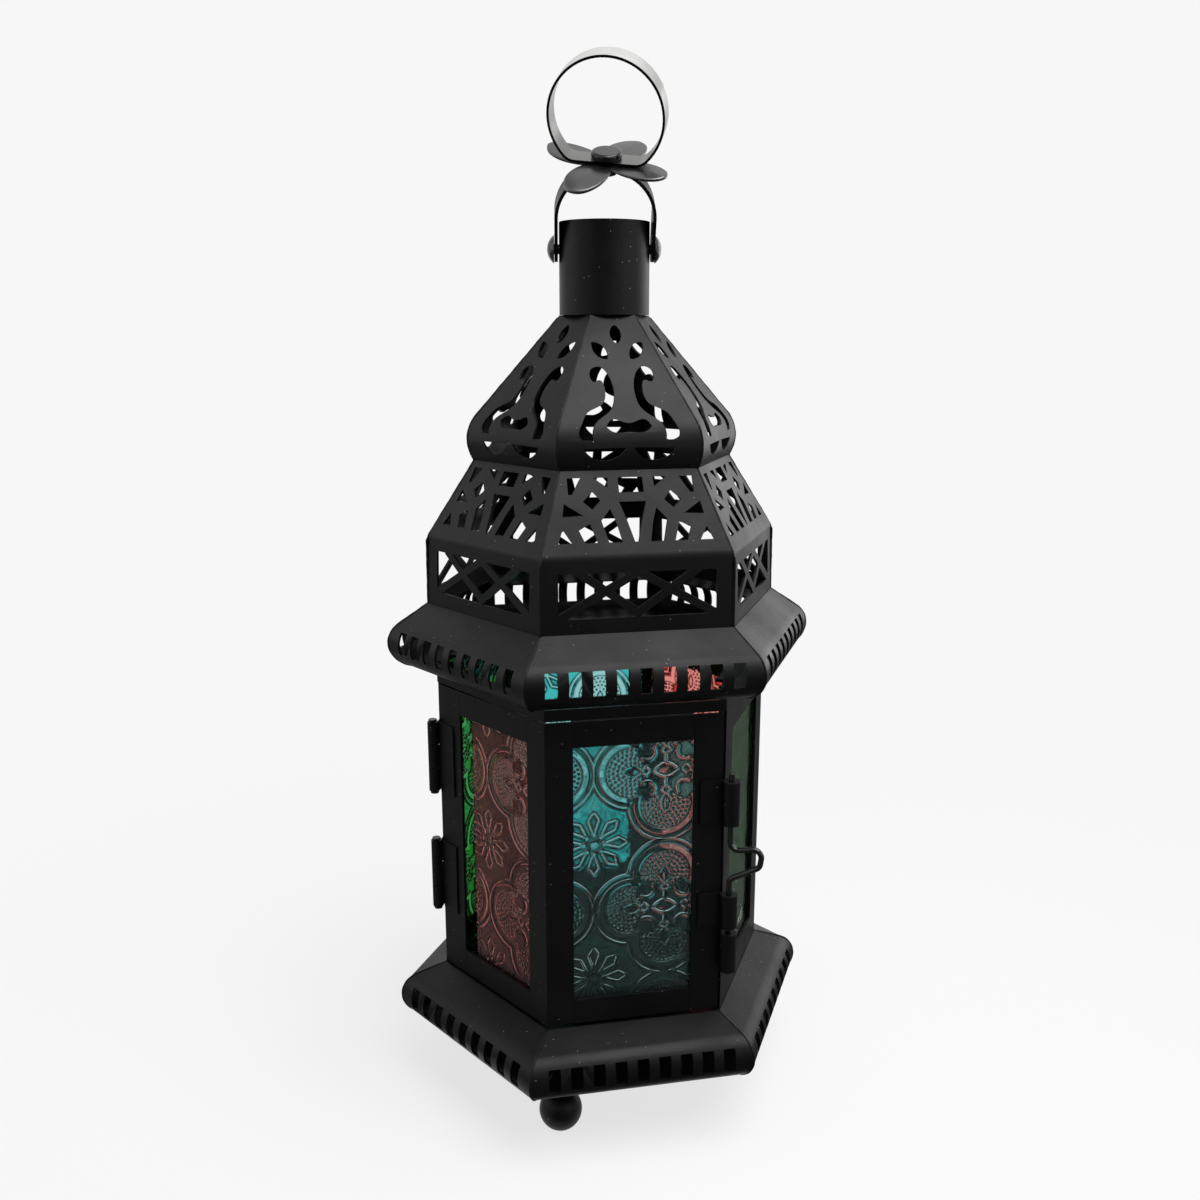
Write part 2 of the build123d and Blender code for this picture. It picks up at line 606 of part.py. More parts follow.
def latch_barrel(face, side, z_span):
    """Rolled barrel on a leaf that is fixed to a face beside the latch corner."""
    ax, ay = polar(LATCH_AXIS, side * HALF_ANGLE)
    x_span = (BODY_FLAT, BODY_FLAT + GUIDE_LEAF_SHEET)
    y_span = sorted((side * (FACE_HALF - GUIDE_LEAF_WIDTH), side * FACE_HALF))
    barrel = block(x_span, y_span, z_span) + post(GUIDE_RADIUS, z_span, (ax, ay))
    bore = (z_span[0] - OVERRUN, z_span[1] + OVERRUN)
    return on_face(face, barrel - post(WIRE_RADIUS + RUN_GAP, bore, (ax, ay)))


def latch_wire():
    """Bent wire pin: a straight top, a thumb loop that points along +X and a straight foot."""
    x, y = polar(LATCH_AXIS, LATCH_CORNER_ANGLE)
    top = UPPER_GUIDE_SPAN[1] + WIRE_TOP_STAND
    tip = KEEPER_SPAN[1] + TOUCH_GAP
    reach = x + LOOP_REACH
    points = [
        (x, y, top),
        (x, y, LOOP_SHOULDER_Z),
        (reach, y, LOOP_SHOULDER_Z + LOOP_RISE),
        (reach - WIRE_RADIUS, y, LOOP_SHOULDER_Z - LOOP_FALL),
        (x, y, LOOP_FOOT_Z),
        (x, y, tip),
    ]
    path = FilletPolyline(*points, radius=LOOP_RADIUS)
    return sweep(Plane((x, y, top), z_dir=(0, 0, -1)) * Circle(WIRE_RADIUS), path=path)


# Chimney tube, bail and ring

def bail_frame(shape):
    """Move a piece drawn upright on the pivot to the bail's resting lean."""
    return Pos(0, 0, PIVOT_Z) * Rot(0, 0, PIVOT_TURN_ANGLE) * Rot(BAIL_LEAN_ANGLE, 0, 0) * shape


def cross_bar(radius, x_span):
    """Round bar along the pivot axis."""
    bar = Cylinder(radius, x_span[1] - x_span[0], align=(Align.CENTER, Align.CENTER, Align.MIN))
    return Pos(x_span[0], 0, 0) * Rot(0, 90, 0) * bar


def chimney_tube():
    """Open tube on the dome's neck with two holes for the bail's rivets."""
    tube = post(TUBE_RADIUS, (TUBE_BOTTOM, TUBE_TOP))
    tube -= post(TUBE_RADIUS - SHEET, (TUBE_BOTTOM - OVERRUN, TUBE_TOP + OVERRUN))
    drill = cross_bar(PIVOT_RIVET_RADIUS + RUN_GAP, (-PLAN_REACH, PLAN_REACH))
    return tube - Pos(0, 0, PIVOT_Z) * Rot(0, 0, PIVOT_TURN_ANGLE) * drill


def bail_inner_reach():
    """Distance from the axis to the inside of the bail's legs."""
    return TUBE_RADIUS + TOUCH_GAP


def bail_rivets():
    """Two round-headed rivets on which the bail turns, clinched inside the tube."""
    strap = bail_inner_reach() + BAIL_SHEET + SEAM_GAP
    sag = TUBE_RADIUS - SHEET - math.sqrt((TUBE_RADIUS - SHEET) ** 2 - PIVOT_HEAD_RADIUS ** 2 / 4.0)
    inside = TUBE_RADIUS - SHEET - sag - SEAM_GAP
    bend = (PIVOT_HEAD_RADIUS ** 2 + PIVOT_HEAD_RISE ** 2) / (2.0 * PIVOT_HEAD_RISE)
    crown = strap + PIVOT_HEAD_RISE
    half_way = math.degrees(math.asin(PIVOT_HEAD_RADIUS / bend)) / 2.0
    outline = [
        Polyline(
            (crown, 0), (inside - SHEET, 0), (inside - SHEET, PIVOT_HEAD_RADIUS / 2.0),
            (inside, PIVOT_HEAD_RADIUS / 2.0), (inside, PIVOT_RIVET_RADIUS),
            (strap, PIVOT_RIVET_RADIUS), (strap, PIVOT_HEAD_RADIUS),
        ),
        arc_between((strap, PIVOT_HEAD_RADIUS), (crown, 0), (crown - bend, 0), bend, half_way),
    ]
    rivet = revolve(make_face(outline), axis=Axis.X)
    placed = Pos(0, 0, PIVOT_Z) * Rot(0, 0, PIVOT_TURN_ANGLE)
    return [placed * rivet, placed * Rot(0, 0, 180) * rivet]


def bail_strap():
    """Flat strip bent to a U, with round ends that turn on the rivets."""
    reach = bail_inner_reach() + BAIL_SHEET
    shoulder = BAIL_RISE - reach
    path = [
        Line((reach, 0), (reach, shoulder)),
        ThreePointArc((reach, shoulder), (0, BAIL_RISE), (-reach, shoulder)),
        Line((-reach, shoulder), (-reach, 0)),
    ]
    strap = bent_sheet(path, BAIL_SHEET, BAIL_WIDTH / 2.0)
    for side in (-1, 1):
        eye = sorted((side * bail_inner_reach(), side * reach))
        strap += cross_bar(BAIL_WIDTH / 2.0, eye)
    strap -= cross_bar(PIVOT_RIVET_RADIUS + RUN_GAP, (-PLAN_REACH, PLAN_REACH))
    strap -= post(RING_RIVET_RADIUS + RUN_GAP, (BAIL_RISE - OVERRUN, BAIL_RISE + OVERRUN))
    return bail_frame(strap)


def petal_plate():
    """Plate with four petals between the bail and the ring."""
    plan = Circle(PETAL_HUB_RADIUS)
    for index in range(PETAL_COUNT):
        turn = PETAL_TURN_ANGLE + 360.0 / PETAL_COUNT * index
        plan += Rot(0, 0, turn) * Pos(PETAL_CENTRE, 0) * Ellipse(PETAL_LENGTH / 2.0, PETAL_WIDTH / 2.0)
    plan -= Circle(RING_RIVET_RADIUS + RUN_GAP)
    return bail_frame(prism(plan, (BAIL_RISE, BAIL_RISE + PETAL_SHEET)))


def ring_seat():
    """Height of the ring's lowest outside line above the pivot."""
    return BAIL_RISE + PETAL_SHEET + TOUCH_GAP


def hanging_ring():
    """Strip rolled to a ring, flattened at its foot, that swivels on its rivet."""
    outline = Circle(RING_RADIUS) & Pos(0, RING_FLAT_DEPTH) * Rectangle(2.0 * RING_RADIUS, 2.0 * RING_RADIUS)
    outline = fillet(outline.vertices(), RING_CORNER_RADIUS)
    strip = outline - offset(outline, amount=-RING_SHEET)
    ring = Rot(90, 0, 0) * extrude(strip, amount=RING_WIDTH / 2.0, both=True)
    ring = Pos(0, 0, ring_seat() + RING_RADIUS - RING_FLAT_DEPTH) * Rot(0, 0, RING_TURN_ANGLE) * ring
    ring -= post(RING_RIVET_RADIUS + RUN_GAP, (ring_seat() - OVERRUN, ring_seat() + OVERRUN))
    return bail_frame(ring)


def ring_rivet():
    """Mushroom rivet inside the ring, clinched under the bail."""
    head_z = ring_seat() + RING_SHEET + TOUCH_GAP
    arch = bail_inner_reach()
    clinch_sag = arch - math.sqrt(arch ** 2 - RING_CLINCH_RADIUS ** 2)
    clinch_z = BAIL_RISE - BAIL_SHEET - clinch_sag - SEAM_GAP
    rivet = post(RING_RIVET_RADIUS, (clinch_z, head_z))
    head = post(RING_HEAD_RADIUS, (head_z, head_z + RING_HEAD_RISE))
    top_edge = head.edges().filter_by(GeomType.CIRCLE).sort_by(Axis.Z)[-1]
    rivet += fillet(top_edge, RING_HEAD_RISE / 2.0)
    rivet += post(RING_CLINCH_RADIUS, (clinch_z - RING_CLINCH_RISE, clinch_z))
    return bail_frame(rivet)


def build_parts():
    """Every node by name, as one solid or a list of like solids."""
    parts = {}
    shapes = {"dome_panel": dome_panel(), "eave_panel": eave_panel(), "base_panel": base_panel()}
    for name, shape in shapes.items():
        for face in FACES:
            parts[f"{name}_{face}"] = on_face(face, shape)
    parts["floor_plate"] = floor_plate()
    parts["ball_feet"] = ball_feet()
    parts["candle_cup"] = candle_cup()
    parts["candle_cup_rivet"] = candle_cup_rivet()
    for corner in FIXED_CORNER_ANGLES:
        parts[f"corner_post_{corner:.0f}"] = corner_strip(corner, CORNER_LEG, FIXED_SPAN)
    parts["latch_post"] = face_strip("c", (-FACE_HALF, -FACE_HALF + FRAME_STILE), FIXED_SPAN)
    parts["hinge_post"] = face_strip("f", (FACE_HALF - FRAME_STILE, FACE_HALF), FIXED_SPAN)
    parts["door_lintel"] = door_lintel()
    parts["frame_top_rails"] = [top_rail(face) for face in FIXED_FACES]
    parts["frame_bottom_rails"] = [bottom_rail(face) for face in FIXED_FACES]
    for face in FIXED_FACES:
        parts[f"pane_{face}"] = face_pane(face)
    parts["door_hinge_stile"] = face_strip("a", (-FACE_HALF, -FACE_HALF + HINGE_STILE), DOOR_SPAN)
    parts["door_corner_post"] = corner_strip(DOOR_CORNER_ANGLE, CORNER_LEG, DOOR_SPAN)
    parts["door_latch_stile"] = face_strip("b", (FACE_HALF - LATCH_STILE, FACE_HALF), DOOR_SPAN)
    for face in DOOR_FACES:
        parts[f"door_top_rail_{face}"] = top_rail(face)
        parts[f"door_bottom_rail_{face}"] = bottom_rail(face)
        parts[f"door_pane_{face}"] = face_pane(face)
    outer = [index for index in range(KNUCKLE_COUNT) if index % 2 == 0]
    inner = [index for index in range(KNUCKLE_COUNT) if index % 2 == 1]
    for name, bottom in HINGE_BOTTOMS.items():
        parts[f"{name}_hinge_frame_leaf"] = hinge_leaf("f", 1, bottom, outer)
        parts[f"{name}_hinge_door_leaf"] = hinge_leaf("a", -1, bottom, inner)
    parts["hinge_pins"] = [hinge_pin(bottom) for bottom in HINGE_BOTTOMS.values()]
    parts["upper_latch_guide"] = latch_barrel("b", 1, UPPER_GUIDE_SPAN)
    parts["middle_latch_guide"] = latch_barrel("b", 1, MIDDLE_GUIDE_SPAN)
    parts["latch_keeper"] = latch_barrel("c", -1, KEEPER_SPAN)
    parts["latch_wire"] = latch_wire()
    parts["chimney_tube"] = chimney_tube()
    parts["bail_rivets"] = bail_rivets()
    parts["bail_strap"] = bail_strap()
    parts["petal_plate"] = petal_plate()
    parts["hanging_ring"] = hanging_ring()
    parts["ring_rivet"] = ring_rivet()
    return parts


os.makedirs("parts", exist_ok=True)
for node, shape in build_parts().items():
    solids = shape if isinstance(shape, list) else [shape]
    whole = Compound(children=solids) if len(solids) > 1 else solids[0]
    export_step(whole, f"parts/{node}.step")
    print(node, len(solids))
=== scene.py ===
import json
import math

import bpy
import numpy as np
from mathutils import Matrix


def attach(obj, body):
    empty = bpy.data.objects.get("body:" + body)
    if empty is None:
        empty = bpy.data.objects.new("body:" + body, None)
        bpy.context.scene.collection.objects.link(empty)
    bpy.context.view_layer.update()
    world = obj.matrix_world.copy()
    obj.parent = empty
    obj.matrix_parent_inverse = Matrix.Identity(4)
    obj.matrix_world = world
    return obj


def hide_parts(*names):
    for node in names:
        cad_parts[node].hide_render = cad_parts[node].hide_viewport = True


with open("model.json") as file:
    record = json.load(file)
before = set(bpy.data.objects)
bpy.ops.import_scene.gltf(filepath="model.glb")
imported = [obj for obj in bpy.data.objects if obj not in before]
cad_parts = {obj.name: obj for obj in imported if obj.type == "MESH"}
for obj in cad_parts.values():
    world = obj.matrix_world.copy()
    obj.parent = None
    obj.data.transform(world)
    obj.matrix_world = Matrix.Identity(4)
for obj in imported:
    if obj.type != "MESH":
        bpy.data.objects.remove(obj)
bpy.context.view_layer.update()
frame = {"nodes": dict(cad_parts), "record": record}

bl_info = {
    "name": "Six-sided candle lantern",
    "version": (1, 0, 0),
    "blender": (4, 5, 0),
    "location": "View3D > Sidebar > Lantern",
    "description": "Dresses the packed lantern: black paint, embossed coloured panes, soldered seams",
    "category": "Object",
}

# Direction in degrees that each side faces
FACE_ANGLES = {"a": 240.0, "b": 300.0, "c": 0.0, "d": 60.0, "e": 120.0, "f": 180.0}
# Side, colour, body and height of the worn ridges of each pane
PANES = {
    "door_pane_a": ("a", "red", "door", 1.0),
    "door_pane_b": ("b", "turquoise", "door", 1.0),
    "pane_c": ("c", "green", "lantern", 0.7),
    "pane_d": ("d", "red", "lantern", 1.0),
    "pane_e": ("e", "turquoise", "lantern", 0.5),
    "pane_f": ("f", "green", "lantern", 0.7),
}
HARDWARE = ("ring_rivet", "bail_rivets", "latch_wire", "hinge_pins")
MM = 0.001
# Points of a CAD node that lie closer than this are one
JOIN_DISTANCE = 0.000004


# Settings

class LanternPaintSettings(bpy.types.PropertyGroup):
    """Finish of the painted metal."""

    colour: bpy.props.FloatVectorProperty(
        name="Paint", description="Colour of the black paint", subtype="COLOR", size=3,
        min=0.0, max=1.0, default=(0.0020, 0.0020, 0.0023))
    hardware_colour: bpy.props.FloatVectorProperty(
        name="Hardware paint", description="Colour of the paint on rivets, pins and wire",
        subtype="COLOR", size=3, min=0.0, max=1.0, default=(0.0035, 0.0035, 0.0037))
    roughness: bpy.props.FloatProperty(
        name="Roughness", description="Mean roughness of the sheet's paint", default=0.40, min=0.0, max=1.0)
    dust: bpy.props.FloatProperty(
        name="Dust", description="How pale the dust specks are", default=0.32, min=0.0, max=1.0)
    edge: bpy.props.FloatProperty(
        name="Rounded edge", description="Width of the rounded edges of the sheet", default=0.00012, min=0.0,
        subtype="DISTANCE", unit="LENGTH")
    smooth_angle: bpy.props.FloatProperty(
        name="Smooth angle", description="Edges flatter than this are shaded smooth",
        subtype="ANGLE", default=math.radians(32.0))


class LanternGlassSettings(bpy.types.PropertyGroup):
    """Embossed panes."""

    red: bpy.props.FloatVectorProperty(
        name="Red", description="Lacquer on the flats of the red panes", subtype="COLOR", size=3,
        min=0.0, max=1.0, default=(0.36, 0.008, 0.006))
    turquoise: bpy.props.FloatVectorProperty(
        name="Turquoise", description="Lacquer on the flats of the turquoise panes", subtype="COLOR", size=3,
        min=0.0, max=1.0, default=(0.012, 0.41, 0.41))
    green: bpy.props.FloatVectorProperty(
        name="Green", description="Lacquer on the flats of the green panes", subtype="COLOR", size=3,
        min=0.0, max=1.0, default=(0.004, 0.16, 0.008))
    red_ridge: bpy.props.FloatVectorProperty(
        name="Red ridges", description="Thin lacquer on the ridges of the red panes", subtype="COLOR", size=3,
        min=0.0, max=1.0, default=(1.0, 0.38, 0.33))
    turquoise_ridge: bpy.props.FloatVectorProperty(
        name="Turquoise ridges", description="Thin lacquer on the ridges of the turquoise panes",
        subtype="COLOR", size=3, min=0.0, max=1.0, default=(0.76, 0.96, 0.96))
    green_ridge: bpy.props.FloatVectorProperty(
        name="Green ridges", description="Thin lacquer on the ridges of the green panes",
        subtype="COLOR", size=3, min=0.0, max=1.0, default=(0.10, 0.45, 0.13))
    red_gloss: bpy.props.FloatProperty(
        name="Red gloss", description="How much the red panes mirror", default=0.10, min=0.0, max=1.0)
    turquoise_gloss: bpy.props.FloatProperty(
        name="Turquoise gloss", description="How much the turquoise panes mirror",
        default=0.4, min=0.0, max=1.0)
    green_gloss: bpy.props.FloatProperty(
        name="Green gloss", description="How much the green panes mirror", default=0.06, min=0.0, max=1.0)
    # Painted shade: share of the flats' colour kept where the lacquer is painted dark beside the ridges, in
    # pits and in kites
    pooled: bpy.props.FloatProperty(
        name="Pooled lacquer", description="Share of the colour left where lacquer pools beside the ridges",
        default=0.004, min=0.0, max=1.0)
    relief: bpy.props.FloatProperty(
        name="Relief", description="Height of the embossing", default=0.00038, min=0.0,
        subtype="DISTANCE", unit="LENGTH")
    imprint: bpy.props.FloatProperty(
        name="Imprint", description="Depth of the pattern's faint imprint on the outer face",
        default=0.00004, min=0.0, subtype="DISTANCE", unit="LENGTH")
    pitch: bpy.props.FloatProperty(
        name="Medallion pitch", description="Distance between two medallions", default=0.0352, min=0.01,
        subtype="DISTANCE", unit="LENGTH")
    step: bpy.props.FloatProperty(
        name="Grid step", description="Distance between two grid lines of a pane", default=0.00020,
        min=0.0001, subtype="DISTANCE", unit="LENGTH")


class LanternSeamSettings(bpy.types.PropertyGroup):
    """Solder along the mitred seams."""

    bead: bpy.props.FloatProperty(
        name="Bead radius", description="Radius of the solder bead on a seam", default=0.00030, min=0.0,
        subtype="DISTANCE", unit="LENGTH")


class LanternStageSettings(bpy.types.PropertyGroup):
    """Floor, lamps and camera."""

    background: bpy.props.FloatVectorProperty(
        name="Background", description="Colour behind the lantern", subtype="COLOR", size=3,
        min=0.0, max=1.0, default=(0.93, 0.93, 0.93))
    top_power: bpy.props.FloatProperty(
        name="Top lamp", description="Power of the large lamp above", default=7.0, min=0.0,
        subtype="POWER", unit="POWER")
    side_power: bpy.props.FloatProperty(
        name="Side lamps", description="Power of each side lamp", default=0.8, min=0.0,
        subtype="POWER", unit="POWER")
    back_power: bpy.props.FloatProperty(
        name="Back lamp", description="Power of the lamp behind", default=2.2, min=0.0,
        subtype="POWER", unit="POWER")
    focal_length: bpy.props.FloatProperty(
        name="Focal length", description="Focal length in millimetres on a 36 mm sensor", default=36.0,
        min=1.0, subtype="DISTANCE_CAMERA")


# Mesh helpers

def grid_quads(rows, columns, wrap_columns=False):
    """Corner indices of the quads of a grid whose points are stored row by row."""
    across = columns if wrap_columns else columns - 1
    row, column = np.meshgrid(np.arange(rows - 1), np.arange(across), indexing="ij")
    here = (row * columns + column).ravel()
    right = (row * columns + (column + 1) % columns).ravel()
    return np.stack([here, right, right + columns, here + columns], axis=1)


def add_piece(
        name, points, faces, body, material, stands_for=(), values=None, smooth=None):
    """Mesh object from points and faces riding on a body, its first faces (or all) shaded smooth."""
    mesh = bpy.data.meshes.new(name)
    mesh.from_pydata(np.asarray(points, float).tolist(), [], [list(map(int, face)) for face in faces])
    for key, array in (values or {}).items():
        layer = mesh.attributes.new(key, "FLOAT", "POINT")
        layer.data.foreach_set("value", np.asarray(array, np.float32).ravel())
    mesh.update()
    smooth = len(mesh.polygons) if smooth is None else smooth
    mesh.polygons.foreach_set("use_smooth", np.arange(len(mesh.polygons)) < smooth)
    mesh.materials.append(material)
    piece = bpy.data.objects.new(name, mesh)
    bpy.context.scene.collection.objects.link(piece)
    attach(piece, body)
    if stands_for:
        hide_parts(*stands_for)
    return piece


def turned(points, degrees):
    """Points turned about the lantern's axis."""
    angle = math.radians(degrees)
    turn = np.array([
        [math.cos(angle), -math.sin(angle), 0.0],
        [math.sin(angle), math.cos(angle), 0.0],
        [0.0, 0.0, 1.0],
    ])
    return np.asarray(points) @ turn.T


def node_points(name):
    """All points of a CAD node."""
    mesh = frame["nodes"][name].data
    points = np.empty(len(mesh.vertices) * 3, np.float32)
    mesh.vertices.foreach_get("co", points)
    return points.reshape(-1, 3).astype(float)


def record_joint(name):
    """A joint of the record."""
    return next(joint for joint in frame["record"]["behaviour"]["joints"] if joint["name"] == name)


def tube(path, radius, sides):
    """Round bar along a path: circles of a given radius square to the path, with closed ends.

    Each circle starts from one direction across the path, taken from the path's first and middle
    stretches, the second skewed a little so that a straight path has one too.
    """
    skew = (0.013, 0.027, 0.041)
    along = np.gradient(path, axis=0)
    along /= np.linalg.norm(along, axis=1, keepdims=True)
    flat = np.cross(along[0], along[len(along) // 2] + np.array(skew))
    flat = np.cross(along, np.cross(flat, along))
    flat /= np.linalg.norm(flat, axis=1, keepdims=True)
    other = np.cross(along, flat)
    angle = np.linspace(0.0, 2.0 * math.pi, sides, endpoint=False)[None, :, None]
    ring = np.cos(angle) * flat[:, None, :] + np.sin(angle) * other[:, None, :]
    points = (path[:, None, :] + radius[:, None, None] * ring).reshape(-1, 3)
    faces = grid_quads(len(path), sides, wrap_columns=True).tolist()
    last = (len(path) - 1) * sides
    faces.append(list(range(sides))[::-1])
    faces.append(list(range(last, last + sides)))
    return points, faces


def merged(pieces):
    """One set of points and faces from several."""
    points, faces, start = [], [], 0
    for piece_points, piece_faces in pieces:
        points.append(np.asarray(piece_points))
        faces.extend([[int(index) + start for index in face] for face in piece_faces])
        start += len(piece_points)
    return np.concatenate(points), faces


# Materials

def add_node(tree, kind, **settings):
    """Node of a kind, with its properties and the values of its named sockets set."""
    node = tree.nodes.new(kind)
    for key, value in settings.items():
        if hasattr(node, key):
            setattr(node, key, value)
        else:
            node.inputs[key.replace("_", " ").title()].default_value = value
    return node


def add_group(name, inputs, outputs):
    """Shader node group with float or colour sockets, and its two end nodes."""
    group = bpy.data.node_groups.new(name, "ShaderNodeTree")
    kinds = {"value": "NodeSocketFloat", "colour": "NodeSocketColor", "vector": "NodeSocketVector"}
    for label, kind, default in inputs:
        socket = group.interface.new_socket(label, in_out="INPUT", socket_type=kinds[kind])
        if default is not None:
            socket.default_value = default
    for label, kind in outputs:
        group.interface.new_socket(label, in_out="OUTPUT", socket_type=kinds[kind])
    return group, group.nodes.new("NodeGroupInput"), group.nodes.new("NodeGroupOutput")


def use_group(tree, group, **values):
    """Group placed in a material with its own values."""
    node = tree.nodes.new("ShaderNodeGroup")
    node.node_tree = group
    for label, value in values.items():
        node.inputs[label.replace("_", " ")].default_value = value
    return node


def dust_group():
    """Dust specks: pale dots where a fine cell pattern comes near its centres, kept in some cells only."""
    group, start, end = add_group(
        "Dust specks",
        [("Vector", "vector", None), ("Scale", "value", 800.0), ("Size", "value", 0.07)],
        [("Mask", "value")])
    links = group.links
    cells = add_node(group, "ShaderNodeTexVoronoi", feature="F1")
    links.new(start.outputs["Vector"], cells.inputs["Vector"])
    links.new(start.outputs["Scale"], cells.inputs["Scale"])
    dots = add_node(group, "ShaderNodeMath", operation="LESS_THAN")
    links.new(cells.outputs["Distance"], dots.inputs[0])
    links.new(start.outputs["Size"], dots.inputs[1])
    few = add_node(group, "ShaderNodeSeparateColor")
    links.new(cells.outputs["Color"], few.inputs[0])
    keep = add_node(group, "ShaderNodeMath", operation="GREATER_THAN")
    keep.inputs[1].default_value = 0.78
    links.new(few.outputs[0], keep.inputs[0])
    mask = add_node(group, "ShaderNodeMath", operation="MULTIPLY")
    links.new(dots.outputs[0], mask.inputs[0])
    links.new(keep.outputs[0], mask.inputs[1])
    links.new(mask.outputs[0], end.inputs["Mask"])
    return group


def paint_group():
    """Sprayed paint on bent sheet: fine orange peel over soft dents, and slow patches of duller paint."""
    group, start, end = add_group(
        "Sprayed paint",
        [("Vector", "vector", None), ("Peel Scale", "value", 900.0), ("Peel", "value", 0.1),
         ("Rough Low", "value", 0.34), ("Rough High", "value", 0.5)],
        [("Height", "value"), ("Roughness", "value"), ("Patch", "value")])
    links = group.links
    peel = add_node(group, "ShaderNodeTexNoise", detail=3.0, roughness=0.55)
    links.new(start.outputs["Vector"], peel.inputs["Vector"])
    links.new(start.outputs["Peel Scale"], peel.inputs["Scale"])
    patch = add_node(group, "ShaderNodeTexNoise", scale=45.0, detail=4.0, roughness=0.6)
    links.new(start.outputs["Vector"], patch.inputs["Vector"])
    span = add_node(group, "ShaderNodeMapRange")
    span.inputs["From Min"].default_value = 0.3
    span.inputs["From Max"].default_value = 0.7
    links.new(patch.outputs[0], span.inputs["Value"])
    links.new(start.outputs["Rough Low"], span.inputs["To Min"])
    links.new(start.outputs["Rough High"], span.inputs["To Max"])
    dents = add_node(group, "ShaderNodeTexNoise", scale=60.0, detail=2.0, roughness=0.4)
    links.new(start.outputs["Vector"], dents.inputs["Vector"])
    uneven = add_node(group, "ShaderNodeMath", operation="MULTIPLY_ADD")
    links.new(peel.outputs[0], uneven.inputs[0])
    links.new(start.outputs["Peel"], uneven.inputs[1])
    links.new(dents.outputs[0], uneven.inputs[2])
    links.new(uneven.outputs[0], end.inputs["Height"])
    links.new(span.outputs[0], end.inputs["Roughness"])
    links.new(patch.outputs[0], end.inputs["Patch"])
    return group


def shared_group(name, make):
    """Group made once and found again by its name."""
    return bpy.data.node_groups.get(name) or make()


def paint_material(name, colour, rough_low, rough_high, specular, dust, peel):
    """Black paint on metal with orange peel, duller patches and dust."""
    known = bpy.data.materials.get(name)
    if known:
        return known
    material = bpy.data.materials.new(name)
    material.use_nodes = True
    tree = material.node_tree
    shader = tree.nodes["Principled BSDF"]
    shader.inputs["Specular IOR Level"].default_value = specular
    shader.inputs["Metallic"].default_value = 0.0
    place = tree.nodes.new("ShaderNodeTexCoord")
    paint = use_group(
        tree, shared_group("Sprayed paint", paint_group),
        Peel=peel, Rough_Low=rough_low, Rough_High=rough_high)
    specks = use_group(tree, shared_group("Dust specks", dust_group))
    tree.links.new(place.outputs["Object"], paint.inputs["Vector"])
    tree.links.new(place.outputs["Object"], specks.inputs["Vector"])
    shade = add_node(tree, "ShaderNodeMix", data_type="RGBA")
    shade.inputs["A"].default_value = (*[channel * 0.75 for channel in colour], 1.0)
    shade.inputs["B"].default_value = (*[channel * 1.6 for channel in colour], 1.0)
    tree.links.new(paint.outputs["Patch"], shade.inputs["Factor"])
    dusty = add_node(tree, "ShaderNodeMix", data_type="RGBA")
    dusty.inputs["B"].default_value = (dust, dust, dust * 0.97, 1.0)
    tree.links.new(specks.outputs["Mask"], dusty.inputs["Factor"])
    tree.links.new(shade.outputs["Result"], dusty.inputs["A"])
    bump = add_node(tree, "ShaderNodeBump", strength=1.0)
    bump.inputs["Distance"].default_value = 0.0003
    tree.links.new(paint.outputs["Height"], bump.inputs["Height"])
    tree.links.new(dusty.outputs["Result"], shader.inputs["Base Color"])
    tree.links.new(paint.outputs["Roughness"], shader.inputs["Roughness"])
    tree.links.new(bump.outputs["Normal"], shader.inputs["Normal"])
    return material


def lacquer_group():
    """Lacquer on embossed glass: deep on the flats, thin on raised lines, uneven, and dark with painted shade
    where the mask says.
    """
    group, start, end = add_group(
        "Lacquer on relief",
        [("Vector", "vector", None), ("Relief", "value", 0.0), ("Pool", "value", 0.0),
         ("Deep", "colour", None), ("Thin", "colour", None), ("Pooled", "colour", None)],
        [("Colour", "colour"), ("Height", "value")])
    links = group.links
    cloud = add_node(group, "ShaderNodeTexNoise", scale=70.0, detail=4.0, roughness=0.6)
    links.new(start.outputs["Vector"], cloud.inputs["Vector"])
    spread = add_node(group, "ShaderNodeMath", operation="MULTIPLY_ADD")
    spread.inputs[1].default_value = 0.40
    spread.inputs[2].default_value = -0.20
    links.new(cloud.outputs[0], spread.inputs[0])
    wear = add_node(group, "ShaderNodeMath", operation="ADD", use_clamp=True)
    links.new(start.outputs["Relief"], wear.inputs[0])
    links.new(spread.outputs[0], wear.inputs[1])
    mixed = add_node(group, "ShaderNodeMix", data_type="RGBA")
    links.new(wear.outputs[0], mixed.inputs["Factor"])
    links.new(start.outputs["Deep"], mixed.inputs["A"])
    links.new(start.outputs["Thin"], mixed.inputs["B"])
    ripple = add_node(group, "ShaderNodeTexNoise", scale=420.0, detail=3.0)
    links.new(start.outputs["Vector"], ripple.inputs["Vector"])
    # Painted shade: the colour darkens towards the shaded colour where the mask is high
    pooled = add_node(group, "ShaderNodeMix", data_type="RGBA")
    links.new(start.outputs["Pool"], pooled.inputs["Factor"])
    links.new(mixed.outputs["Result"], pooled.inputs["A"])
    links.new(start.outputs["Pooled"], pooled.inputs["B"])
    links.new(pooled.outputs["Result"], end.inputs["Colour"])
    links.new(ripple.outputs[0], end.inputs["Height"])
    return group


